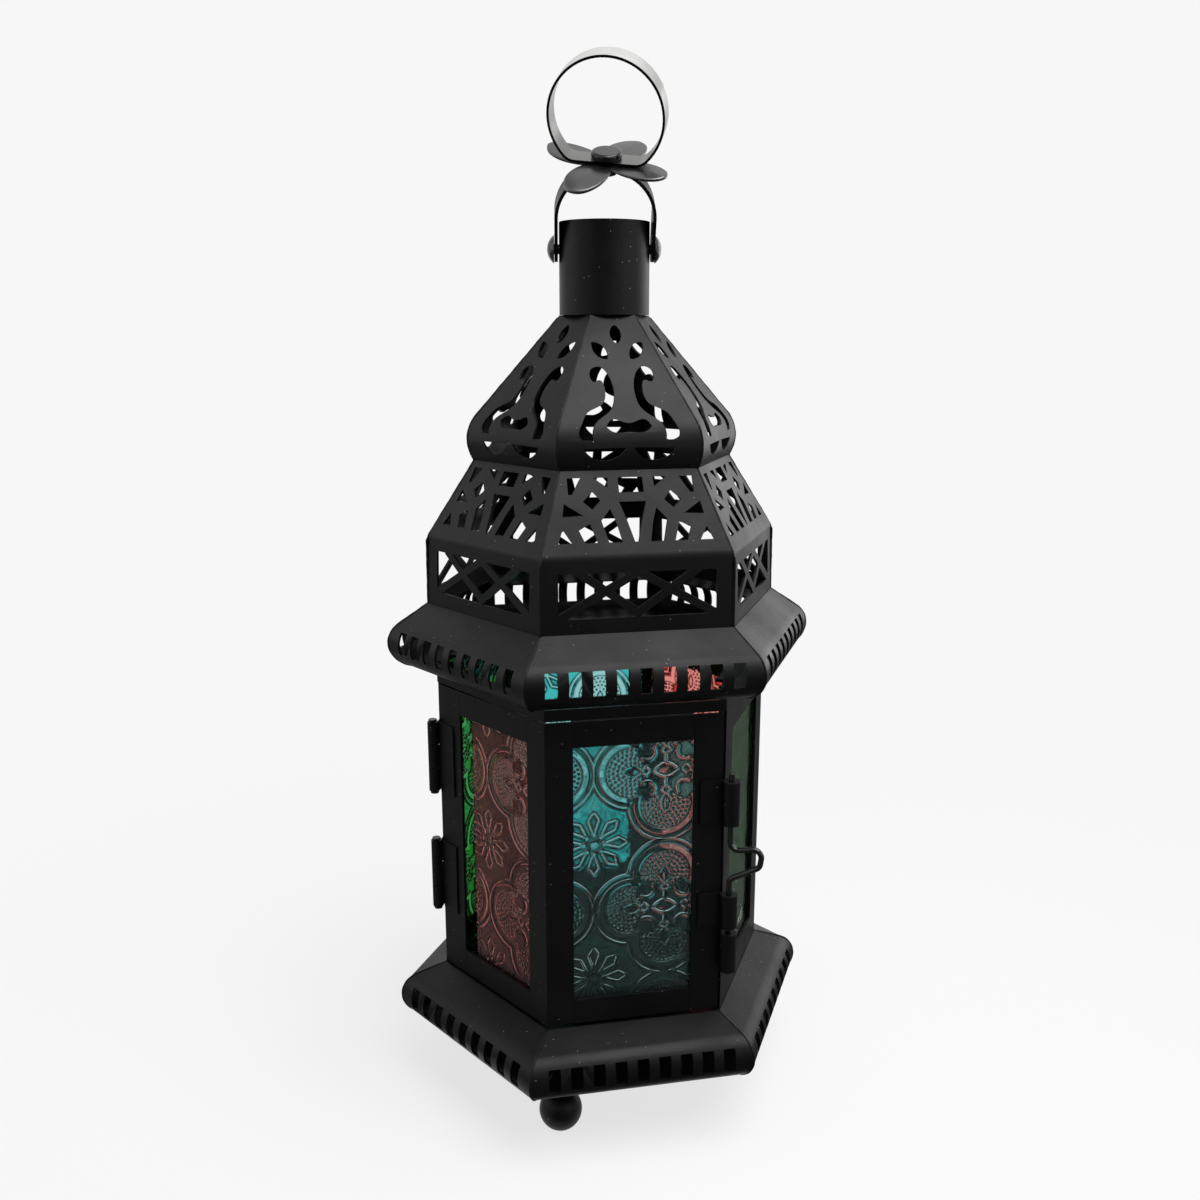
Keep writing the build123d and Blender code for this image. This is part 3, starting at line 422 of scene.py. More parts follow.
def glass_material(colour):
    """Coloured embossed glass: see-through, lacquered, with faint ripples."""
    name = f"{colour}_lacquered_glass"
    known = bpy.data.materials.get(name)
    if known:
        return known
    settings = bpy.context.scene.lantern_glass
    material = bpy.data.materials.new(name)
    material.use_nodes = True
    tree = material.node_tree
    shader = tree.nodes["Principled BSDF"]
    shader.inputs["Metallic"].default_value = 0.0
    shader.inputs["Transmission Weight"].default_value = 0.985
    shader.inputs["IOR"].default_value = 1.45
    shader.inputs["Roughness"].default_value = 0.05
    gloss = getattr(settings, f"{colour}_gloss")
    shader.inputs["Specular Tint"].default_value = (gloss, gloss, gloss, 1.0)
    place = tree.nodes.new("ShaderNodeTexCoord")
    relief = add_node(tree, "ShaderNodeAttribute", attribute_name="relief")
    # Mask of the painted shade beside the ridges, in pits and in kites
    pool = add_node(tree, "ShaderNodeAttribute", attribute_name="pool")
    lacquer = use_group(tree, shared_group("Lacquer on relief", lacquer_group))
    deep = getattr(settings, colour)
    lacquer.inputs["Deep"].default_value = (*deep, 1.0)
    lacquer.inputs["Pooled"].default_value = (*[settings.pooled * channel for channel in deep], 1.0)
    lacquer.inputs["Thin"].default_value = (*getattr(settings, f"{colour}_ridge"), 1.0)
    tree.links.new(place.outputs["Object"], lacquer.inputs["Vector"])
    tree.links.new(relief.outputs["Fac"], lacquer.inputs["Relief"])
    tree.links.new(pool.outputs["Fac"], lacquer.inputs["Pool"])
    bump = add_node(tree, "ShaderNodeBump", strength=0.15)
    bump.inputs["Distance"].default_value = 0.0003
    tree.links.new(lacquer.outputs["Height"], bump.inputs["Height"])
    tree.links.new(lacquer.outputs["Colour"], shader.inputs["Base Color"])
    tree.links.new(bump.outputs["Normal"], shader.inputs["Normal"])
    return material


def sheet_paint():
    """Paint of the sheet metal."""
    settings = bpy.context.scene.lantern_paint
    return paint_material(
        "black_sheet_paint", settings.colour, rough_low=settings.roughness - 0.06,
        rough_high=settings.roughness + 0.1, specular=0.15, dust=settings.dust, peel=0.12)


def hardware_paint():
    """Shinier paint of rivets, pins and wire."""
    settings = bpy.context.scene.lantern_paint
    return paint_material(
        "black_hardware_paint", settings.hardware_colour, rough_low=0.16, rough_high=0.26,
        specular=0.45, dust=settings.dust * 0.5, peel=0.06)


def petal_paint():
    """Satin paint of the petal plate."""
    settings = bpy.context.scene.lantern_paint
    return paint_material(
        "black_satin_paint", settings.hardware_colour, rough_low=0.26, rough_high=0.38,
        specular=1.0, dust=settings.dust * 0.5, peel=0.06)


def ring_paint(name):
    """Ring in metal whose colour holds painted light: a painted highlight bright at its top and duller below,
    and painted shade on the strip's cut edges.

    The edges are told by the distance from the middle plane of the ring along its axis, the painted
    highlight by the height above the ring's foot along its swivel.
    """
    # Width and grey of the painted shade on the cut edges, and greys of the painted highlight from the ring's
    # foot to its top
    shaded_edge_band, shaded_edge_grey = 0.00014, 0.012
    highlight_greys = ((0.0, 0.20), (0.38, 0.13), (0.75, 0.40), (1.0, 0.72))
    points = node_points(name)
    upward = np.array(record_joint("ring_swivel")["axis"])
    height = points @ upward
    axis = np.linalg.svd(points - points.mean(0), full_matrices=False)[2][2]
    offset = points @ axis
    half_width = (offset.max() - offset.min()) / 2.0

    material = bpy.data.materials.new("burnished_ring")
    material.use_nodes = True
    tree = material.node_tree
    shader = tree.nodes["Principled BSDF"]
    shader.inputs["Metallic"].default_value = 1.0
    place = tree.nodes.new("ShaderNodeTexCoord")
    paint = use_group(tree, shared_group("Sprayed paint", paint_group), Rough_Low=0.24, Rough_High=0.38)
    tree.links.new(place.outputs["Object"], paint.inputs["Vector"])

    # Painted shade: the strip's cut edges, told by the distance from the ring's middle plane, go dark
    away = add_node(tree, "ShaderNodeVectorMath", operation="DOT_PRODUCT")
    away.inputs[1].default_value = axis.tolist()
    shift = add_node(tree, "ShaderNodeMath", operation="SUBTRACT")
    shift.inputs[1].default_value = float(offset.max() + offset.min()) / 2.0
    size = add_node(tree, "ShaderNodeMath", operation="ABSOLUTE")
    edge = add_node(tree, "ShaderNodeMath", operation="GREATER_THAN")
    edge.inputs[1].default_value = float(half_width - shaded_edge_band)
    tree.links.new(place.outputs["Object"], away.inputs[0])
    tree.links.new(away.outputs["Value"], shift.inputs[0])
    tree.links.new(shift.outputs[0], size.inputs[0])
    tree.links.new(size.outputs[0], edge.inputs[0])

    # Painted highlight: the metal's colour grows brighter with height along the swivel
    rise = add_node(tree, "ShaderNodeVectorMath", operation="DOT_PRODUCT")
    rise.inputs[1].default_value = upward.tolist()
    share = add_node(tree, "ShaderNodeMapRange")
    share.inputs["From Min"].default_value = float(height.min())
    share.inputs["From Max"].default_value = float(height.max())
    top_highlight = tree.nodes.new("ShaderNodeValToRGB")
    for position, _ in highlight_greys[1:-1]:
        top_highlight.color_ramp.elements.new(position)
    for element, (position, grey) in zip(top_highlight.color_ramp.elements, highlight_greys):
        element.position = position
        element.color = (grey, grey, 0.97 * grey, 1.0)
    tree.links.new(place.outputs["Object"], rise.inputs[0])
    tree.links.new(rise.outputs["Value"], share.inputs["Value"])
    tree.links.new(share.outputs[0], top_highlight.inputs[0])

    uneven = add_node(tree, "ShaderNodeMath", operation="MULTIPLY_ADD")
    uneven.inputs[1].default_value = 0.6
    uneven.inputs[2].default_value = 0.7
    face = add_node(tree, "ShaderNodeVectorMath", operation="SCALE")
    # Painted shade on the cut edges laid over the painted highlight
    shade = add_node(tree, "ShaderNodeMix", data_type="RGBA")
    shade.inputs["B"].default_value = (shaded_edge_grey, shaded_edge_grey, shaded_edge_grey, 1.0)
    tree.links.new(paint.outputs["Patch"], uneven.inputs[0])
    tree.links.new(top_highlight.outputs[0], face.inputs[0])
    tree.links.new(uneven.outputs[0], face.inputs["Scale"])
    tree.links.new(face.outputs["Vector"], shade.inputs["A"])
    tree.links.new(edge.outputs[0], shade.inputs["Factor"])
    tree.links.new(shade.outputs["Result"], shader.inputs["Base Color"])
    tree.links.new(paint.outputs["Roughness"], shader.inputs["Roughness"])
    return material


# Pattern of the panes: sizes in millimetres, shares of its pitch, and grid steps that the painted shade
# spreads over

LOBE_SHARE, LOBE_RADIUS_SHARE, SQUARE_SHARE = 0.244, 0.233, 0.233
STRIP_INSET, STRIP_HALF_WIDTH, STRIP_SLOPE = 1.05, 0.95, 0.35
BORDER_OFFSET, BORDER_HALF_WIDTH = 0.95, 0.42
FIELD_INSET = 2.15
LEAF_SHARE, LEAF_LENGTH, LEAF_WIDTH, LEAF_LINE = 0.236, 2.5, 1.35, 0.30
DIAMOND_SHARE, DIAMOND_LENGTH, DIAMOND_WIDTH, DIAMOND_LINE = 0.142, 1.05, 1.25, 0.36
CRESCENT_REACH, CRESCENT_RADIUS, CRESCENT_HALF_WIDTH = 6.6, 2.0, 0.62
CRESCENT_END, CRESCENT_FADE = 6.9, 0.6
EYE_LENGTH, EYE_WIDTH, EYE_LINE = 3.0, 1.7, 0.30
BAR_REACH, BAR_HALF_LENGTH, BAR_HALF_WIDTH, BAR_SLOPE = 3.1, 1.6, 0.5, 0.3
PIT_ROWS, PIT_INSET, PIT_ROW_STEP, PIT_SPACING, PIT_RADIUS = 6, 2.70, 1.06, 1.14, 0.50
NET_CLEAR_MIDDLE, NET_CLEAR_CRESCENT = 5.4, 2.6
PETAL_START, PETAL_END, PETAL_LINE, PETAL_HOLLOW_SLOPE = 3.0, 8.2, 0.34, 0.5
PETAL_ROOT, PETAL_OPENING, PETAL_CLOSING = 0.25, 0.36, 0.62
BEAD_REACH, BEAD_RADIUS, HUB_RADIUS = 2.45, 0.72, 1.30
OUTER_LACQUER_SHARE = 0.6
# Painted shade at the foot of steep slopes: slope where it starts, span over which it grows, and shifts that
# widen it
PAINTED_SHADE_SLOPE, PAINTED_SHADE_SLOPE_SPAN = 0.6, 1.2
PAINTED_SHADE_SHIFTS = ((-2, 0), (2, 0), (0, -2), (0, 2), (-1, -1), (-1, 1), (1, -1), (1, 1))


def line(distance, half_width):
    """Raised round line: 1 on the line, falling to 0 at its half width."""
    return np.clip(1.0 - (distance / half_width) ** 2, 0.0, 1.0)


def plateau(distance, half_width, edge):
    """Raised strip with a flat top and sloping sides."""
    return np.clip((half_width - np.abs(distance)) / edge, 0.0, 1.0)


def half_ball(distance):
    """Raised half ball: 1 in the middle, falling to 0 at distance 1."""
    return np.sqrt(np.clip(1.0 - distance ** 2, 0.0, 1.0))


def medallion_relief(u, v, pitch):
    """Heights, and painted shade in pits and kites, from 0 to 1 of the repeating pattern, with u, v and pitch
    in millimetres.

    A medallion is the union of four circles on the axes and a square. Its outline is a strip beside
    a line. Rings of small pits about each circle's centre leave a raised net. A pointed leaf and a
    small diamond lie on each axis, a crescent on each diagonal and an eye between two bars in the
    middle. Where four medallions meet, the raised outlines of eight kites and eight beads make a daisy.
    The second array holds painted shade: dark in the middle of the pits and inside the kites.
    """
    lobe, radius, square = LOBE_SHARE * pitch, LOBE_RADIUS_SHARE * pitch, SQUARE_SHARE * pitch
    across = np.abs((u + pitch / 2.0) % pitch - pitch / 2.0)
    upright = np.abs((v + pitch / 2.0) % pitch - pitch / 2.0)
    far, near = np.maximum(across, upright), np.minimum(across, upright)
    reach = np.hypot(far - lobe, near)
    edge = np.minimum(reach - radius, far - square)
    strip = plateau(edge + STRIP_INSET, STRIP_HALF_WIDTH, STRIP_SLOPE)
    outline = np.maximum(0.85 * strip, 0.9 * line(edge - BORDER_OFFSET, BORDER_HALF_WIDTH))
    field = edge < -FIELD_INSET

    leaf = ((far - LEAF_SHARE * pitch) / LEAF_LENGTH) ** 2 + near / LEAF_WIDTH
    leaves = np.maximum(line(leaf - 1.0, LEAF_LINE), 0.8 * np.clip(1.0 - leaf * 1.5, 0.0, 1.0))
    diamond = np.abs(far - DIAMOND_SHARE * pitch) / DIAMOND_LENGTH + near / DIAMOND_WIDTH
    diamonds = line(diamond - 1.0, DIAMOND_LINE)
    slant, skew = (far + near) / math.sqrt(2.0), (far - near) / math.sqrt(2.0)
    bow = np.hypot(slant - CRESCENT_REACH, skew)
    crescents = line(bow - CRESCENT_RADIUS, CRESCENT_HALF_WIDTH)
    crescents *= np.clip((CRESCENT_END - slant) / CRESCENT_FADE, 0.0, 1.0)
    eye = (across / EYE_LENGTH) ** 2 + upright / EYE_WIDTH
    bars = line(across, BAR_HALF_WIDTH) * plateau(upright - BAR_REACH, BAR_HALF_LENGTH, BAR_SLOPE)
    bosses = np.maximum.reduce([line(eye - 1.0, EYE_LINE), np.clip(1.0 - eye * 1.6, 0.0, 1.0), bars])

    turn = np.arctan2(near, far - lobe)
    pit = np.full_like(u, 2.0)
    for row in range(PIT_ROWS):
        ring_radius = radius - PIT_INSET - PIT_ROW_STEP * row
        spacing = 2.0 * math.pi / max(3, round(2.0 * math.pi * ring_radius / PIT_SPACING))
        offset = (turn + 0.5 * row * spacing) % spacing - spacing / 2.0
        apart = np.hypot(reach - ring_radius, 2.0 * ring_radius * np.sin(offset / 2.0))
        pit = np.minimum(pit, apart / PIT_RADIUS)
    netted = field & (leaf > 1.3) & (diamond > 1.4) & (bow > NET_CLEAR_CRESCENT) & (slant > NET_CLEAR_MIDDLE)
    net = np.where(netted, 0.95 * np.clip(pit, 0.0, 1.0) ** 2, 0.0)
    medallion = np.where(field, np.maximum.reduce([net, leaves, diamonds, crescents, bosses]), 0.0)

    away_x, away_y = pitch / 2.0 - across, pitch / 2.0 - upright
    out = np.hypot(away_x, away_y)
    angle = np.arctan2(away_y, away_x)
    spoke = (angle + math.pi / 8.0) % (math.pi / 4.0) - math.pi / 8.0
    along, aside = out * np.cos(spoke), np.abs(out * np.sin(spoke))
    width = np.minimum(
        PETAL_ROOT + (along - PETAL_START) * PETAL_OPENING, (PETAL_END - along) * PETAL_CLOSING)
    inside = (along > PETAL_START) & (along < PETAL_END)
    petals = np.where(inside, line(aside - width, PETAL_LINE), 0.0)
    bead = np.hypot(along - BEAD_REACH, aside)
    daisy = np.maximum.reduce([petals, half_ball(bead / BEAD_RADIUS), half_ball(out / HUB_RADIUS)])
    # Painted shade: dark in the middle of each pit and inside each kite
    pits = np.where(netted, np.clip(1.35 - 1.2 * pit, 0.0, 1.0), 0.0)
    kites = np.where(inside, 0.6 * np.clip((width - aside) / PETAL_HOLLOW_SLOPE, 0.0, 1.0), 0.0)
    return np.maximum.reduce([outline, medallion, daisy]), np.maximum(pits, kites)


def pane_grid(low, high, centre, settings, step):
    """Points (y, z) of a grid over a pane, with the pattern's heights and its painted shade there."""
    columns, rows = (int(math.ceil((high[axis] - low[axis]) / step)) + 1 for axis in (1, 2))
    y, z = np.meshgrid(np.linspace(low[1], high[1], columns), np.linspace(low[2], high[2], rows))
    return y, z, *medallion_relief((y - centre[0]) / MM, (z - centre[1]) / MM, settings.pitch / MM)


def grid_edges(rows, columns):
    """Indices along the four edges of a grid, one after another round it."""
    index = np.arange(rows * columns).reshape(rows, columns)
    return index[0], index[:, -1], index[-1, ::-1], index[::-1, 0]


def pane_surface(low, high, centre, settings):
    """Closed pane standing in the plane x = depth: embossed inside, with a faint imprint outside.

    The inner point at (y, z) lies at depth low + relief * (1 - pattern(y, z)), the outer one at
    high - imprint * (1 - pattern(y, z)) on a grid twice as coarse. Beside the points come two values
    for each: the pattern's height, and how much painted shade darkens the lacquer there, in pits, in kites
    and at the foot of steep slopes.
    """
    y, z, pattern, hollow_shade = pane_grid(low, high, centre, settings, settings.step)
    # Painted shade: dark bands at the foot of steep slopes, widened a little, joined with the pits and kites
    slope = np.hypot(*np.gradient(pattern, settings.step / MM))
    steep = np.clip((slope - PAINTED_SHADE_SLOPE) / PAINTED_SHADE_SLOPE_SPAN, 0.0, 1.0)
    foot = steep * np.clip(1.3 - 1.4 * pattern, 0.0, 1.0)
    spread = np.maximum.reduce([foot] + [np.roll(foot, shift, axis=(0, 1)) for shift in PAINTED_SHADE_SHIFTS])
    pool = np.maximum(spread * np.clip(1.5 - 1.5 * pattern, 0.0, 1.0), hollow_shade)
    inside = np.stack([low[0] + settings.relief * (1.0 - pattern), y, z], axis=2)
    outer_y, outer_z, imprint, _ = pane_grid(low, high, centre, settings, 2.0 * settings.step)
    outside = np.stack([high[0] - settings.imprint * (1.0 - imprint), outer_y, outer_z], axis=2)
    edges = zip(grid_edges(*pattern.shape), grid_edges(*imprint.shape))
    sides = [[*inner, *(outer[::-1] + pattern.size)] for inner, outer in edges]
    inner_quads, outer_quads = grid_quads(*pattern.shape)[:, ::-1], grid_quads(*imprint.shape) + pattern.size
    points = np.concatenate([inside.reshape(-1, 3), outside.reshape(-1, 3)])
    values = {
        "relief": np.concatenate([pattern.ravel(), np.full(imprint.size, OUTER_LACQUER_SHARE)]),
        "pool": np.concatenate([pool.ravel(), np.zeros(imprint.size)]),
    }
    faces = inner_quads.tolist() + outer_quads.tolist() + sides
    return points, faces, values, len(inner_quads) + len(outer_quads)


# Seams and petals

def arc(centre, radius, start, end, count):
    """Points of (radius, height) on a circle between two angles in degrees."""
    angle = np.radians(np.linspace(start, end, count))
    return np.stack([centre[0] + radius * np.cos(angle), centre[1] + radius * np.sin(angle)], axis=1)


def resampled(path, step):
    """Path with points at even distances."""
    path = np.asarray(path, float)
    length = np.concatenate([[0.0], np.cumsum(np.linalg.norm(np.diff(path, axis=0), axis=1))])
    place = np.linspace(0.0, length[-1], int(length[-1] / step) + 2)
    return np.stack([np.interp(place, length, column) for column in path.T], axis=1)


def seam_bead(profile, degrees, radius, seed):
    """Solder along a corner: a bar that follows a profile of (face distance, height) at one corner.

    Its radius swells and shrinks by a sum of two sines along its length.
    """
    step, sunk_share = 0.0006, 0.55
    profile = resampled(profile, step)
    reach = profile[:, 0] / math.cos(math.radians(30.0)) - sunk_share * radius
    path = np.stack([reach, np.zeros(len(reach)), profile[:, 1]], axis=1)
    place = np.arange(len(path)) * step / MM
    lumps = 0.08 * np.sin(0.9 * place + seed) + 0.06 * np.sin(2.3 * place + 2.0 * seed)
    points, faces = tube(path, radius * (1.0 + lumps), sides=8)
    return turned(points, degrees), faces


def petal_surface(hub, tip, thickness, hole, lifts):
    """Plate with four cupped petals, as a closed polar grid about +Z.

    At angle t the edge lies at hub + (tip - hub) * |cos(2 t)| ** roundness. Between the hole and the edge
    each petal rises along a crease, droops beside it and is bent by its own lift.
    """
    columns, rows = 240, 22
    roundness, crease, bend, cup = 1.3, 0.00015, 2.2, 0.06
    angle = np.linspace(0.0, 2.0 * math.pi, columns, endpoint=False)
    share = np.linspace(0.0, 1.0, rows)[:, None]
    lobe = np.abs(np.cos(2.0 * angle)) ** roundness
    edge = hub + (tip - hub) * lobe
    radius = hole + (edge - hole) * share
    outward = np.clip((radius - hub) / (tip - hub), 0.0, 1.0)
    aside = radius * np.abs(np.sin(2.0 * angle)) / 2.0
    petal = np.round(angle / (0.5 * math.pi)).astype(int) % len(lifts)
    lift = np.asarray(lifts)[petal]
    height = crease * lobe * np.sin(math.pi * outward) + lift * outward ** bend - cup * aside * outward
    x, y = radius * np.cos(angle), radius * np.sin(angle)
    top = np.stack([x, y, height + thickness], axis=2)
    bottom = np.stack([x, y, height], axis=2)
    points = np.concatenate([top, bottom[::-1]]).reshape(-1, 3)
    faces = grid_quads(2 * rows, columns, wrap_columns=True)[:, ::-1].tolist()
    last = (2 * rows - 1) * columns
    column = np.arange(columns)
    following = np.roll(column, -1)
    faces += np.stack([column, following, following + last, column + last], axis=1).tolist()
    return points, faces


# Operators

class LANTERN_OT_painted_sheet(bpy.types.Operator):
    """Paint every metal node and shade its rolled surfaces smooth"""

    bl_idname = "lantern.painted_sheet"
    bl_label = "Painted sheet and hardware"

    flat_angle, fold_angle = math.radians(0.2), math.radians(42.0)

    def smoothing(self, angle):
        """Geometry node group: joins loose triangles, then shades smooth but for sharp edges."""
        group = bpy.data.node_groups.new("Sheet smoothing", "GeometryNodeTree")
        group.interface.new_socket("Geometry", in_out="INPUT", socket_type="NodeSocketGeometry")
        group.interface.new_socket("Geometry", in_out="OUTPUT", socket_type="NodeSocketGeometry")
        start, end = group.nodes.new("NodeGroupInput"), group.nodes.new("NodeGroupOutput")
        join = group.nodes.new("GeometryNodeMergeByDistance")
        join.inputs["Distance"].default_value = JOIN_DISTANCE
        faces = group.nodes.new("GeometryNodeSetShadeSmooth")
        faces.domain = "FACE"
        edges = group.nodes.new("GeometryNodeSetShadeSmooth")
        edges.domain = "EDGE"
        edges.inputs["Shade Smooth"].default_value = False
        bend = group.nodes.new("GeometryNodeInputMeshEdgeAngle")
        sharp = group.nodes.new("FunctionNodeCompare")
        sharp.data_type = "FLOAT"
        sharp.operation = "GREATER_THAN"
        sharp.inputs[1].default_value = angle
        group.links.new(start.outputs[0], join.inputs["Geometry"])
        group.links.new(join.outputs[0], faces.inputs["Geometry"])
        group.links.new(faces.outputs[0], edges.inputs["Geometry"])
        group.links.new(bend.outputs["Unsigned Angle"], sharp.inputs[0])
        group.links.new(sharp.outputs[0], edges.inputs["Selection"])
        group.links.new(edges.outputs[0], end.inputs[0])
        return group

    def finish(self, name):
        """Paint of a node."""
        if name == "hanging_ring":
            return ring_paint(name)
        return hardware_paint() if name in HARDWARE else sheet_paint()

    def rounded(self, node, width):
        """Joins loose triangles into flat faces and rounds the edges between them."""
        weld = node.modifiers.new("Joined", "WELD")
        weld.merge_threshold = JOIN_DISTANCE
        flat = node.modifiers.new("Flat faces", "DECIMATE")
        flat.decimate_type = "DISSOLVE"
        flat.angle_limit = self.flat_angle
        bevel = node.modifiers.new("Rounded edges", "BEVEL")
        bevel.width = width
        bevel.segments = 2
        bevel.limit_method = "ANGLE"
        bevel.angle_limit = self.fold_angle

    def execute(self, context):
        settings = context.scene.lantern_paint
        group = self.smoothing(settings.smooth_angle)
        for name, node in frame["nodes"].items():
            if name in PANES:
                continue
            node.data.materials.clear()
            node.data.materials.append(self.finish(name))
            self.rounded(node, settings.edge)
            smooth = node.modifiers.new("Smoothing", "NODES")
            smooth.node_group = group
            even = node.modifiers.new("Flat face normals", "WEIGHTED_NORMAL")
            even.keep_sharp = True
        return {"FINISHED"}


class LANTERN_OT_embossed_panes(bpy.types.Operator):
    """Six coloured panes with a medallion and daisy pattern in relief"""

    bl_idname = "lantern.embossed_panes"
    bl_label = "Embossed panes"

    # Place of one medallion on each pane: across it, and above the floor
    centres = {
        "a": (0.0141, 0.0911), "b": (0.00785, 0.0966), "c": (-0.0040, 0.0880),
        "d": (0.0020, 0.0930), "e": (-0.0060, 0.0850), "f": (0.0050, 0.0900),
    }

    def execute(self, context):
        settings = context.scene.lantern_glass
        for name, (face, colour, body, wear) in PANES.items():
            local = turned(node_points(name), -FACE_ANGLES[face])
            points, faces, values, smooth = pane_surface(
                local.min(0), local.max(0), self.centres[face], settings)
            values["relief"] *= wear
            add_piece(
                f"embossed_{name}", turned(points, FACE_ANGLES[face]), faces, body, glass_material(colour),
                stands_for=(name,), values=values, smooth=smooth)
        return {"FINISHED"}


class LANTERN_OT_soldered_seams(bpy.types.Operator):
    """Solder beads along the corners of dome, eave and base"""

    bl_idname = "lantern.soldered_seams"
    bl_label = "Soldered seams"

    # Profiles of the corners as (face distance, height)
    nose, nose_reach = 0.0062, 0.0419
    dome = [
        [(0.0392, 0.1318), (0.0391, 0.1480)],
        arc((0.0353, 0.1480), 0.0035, 8.0, 28.0, 6),
        [(0.02843, 0.16754)],
        arc((0.0198, 0.1726), 0.0100, -28.0, 32.0, 14),
        [(0.01015, 0.2016)],
    ]
    eave = [[(0.0393, 0.1318)], arc((nose_reach, 0.1220), nose, 52.0, -88.0, 26)]
    base = [[(0.0378, 0.0325)], arc((nose_reach, 0.02426), nose, 68.0, -88.0, 26)]

    def execute(self, context):
        bead = context.scene.lantern_seams.bead
        beads = []
        for index in range(6):
            degrees = 30.0 + 60.0 * index
            for order, parts in enumerate((self.dome, self.eave, self.base)):
                profile = np.concatenate([np.asarray(part, float) for part in parts])
                beads.append(seam_bead(profile, degrees, bead, 1.7 * index + 2.9 * order))
        points, faces = merged(beads)
        add_piece("solder_beads", points, faces, "lantern", sheet_paint())
        return {"FINISHED"}


class LANTERN_OT_petal_plate(bpy.types.Operator):
    """Cupped plate with four petals under the ring"""

    bl_idname = "lantern.petal_plate"
    bl_label = "Petal plate"

    hub, tip, hole, sheet = 0.0042, 0.0156, 0.00136, 0.0006
    ring_gap, petal_turn = 0.0003, 57.5
    lifts = (0.0, 0.0012, -0.0016, 0.0)

    def execute(self, context):
        swivel = record_joint("ring_swivel")
        upward = np.array(swivel["axis"])
        across = np.array(record_joint("bail_hinge")["axis"])
        seat = np.array(swivel["pos_m"]) - self.ring_gap * upward
        points, faces = petal_surface(self.hub, self.tip, self.sheet, self.hole, self.lifts)
        turn = math.radians(self.petal_turn)
        local_x = math.cos(turn) * across + math.sin(turn) * np.cross(upward, across)
        local_y = np.cross(upward, local_x)
        placed = seat + (points - [0.0, 0.0, self.sheet]) @ np.stack([local_x, local_y, upward])
        add_piece("cupped_petal_plate", placed, faces, "bail", petal_paint(), stands_for=("petal_plate",))
        return {"FINISHED"}


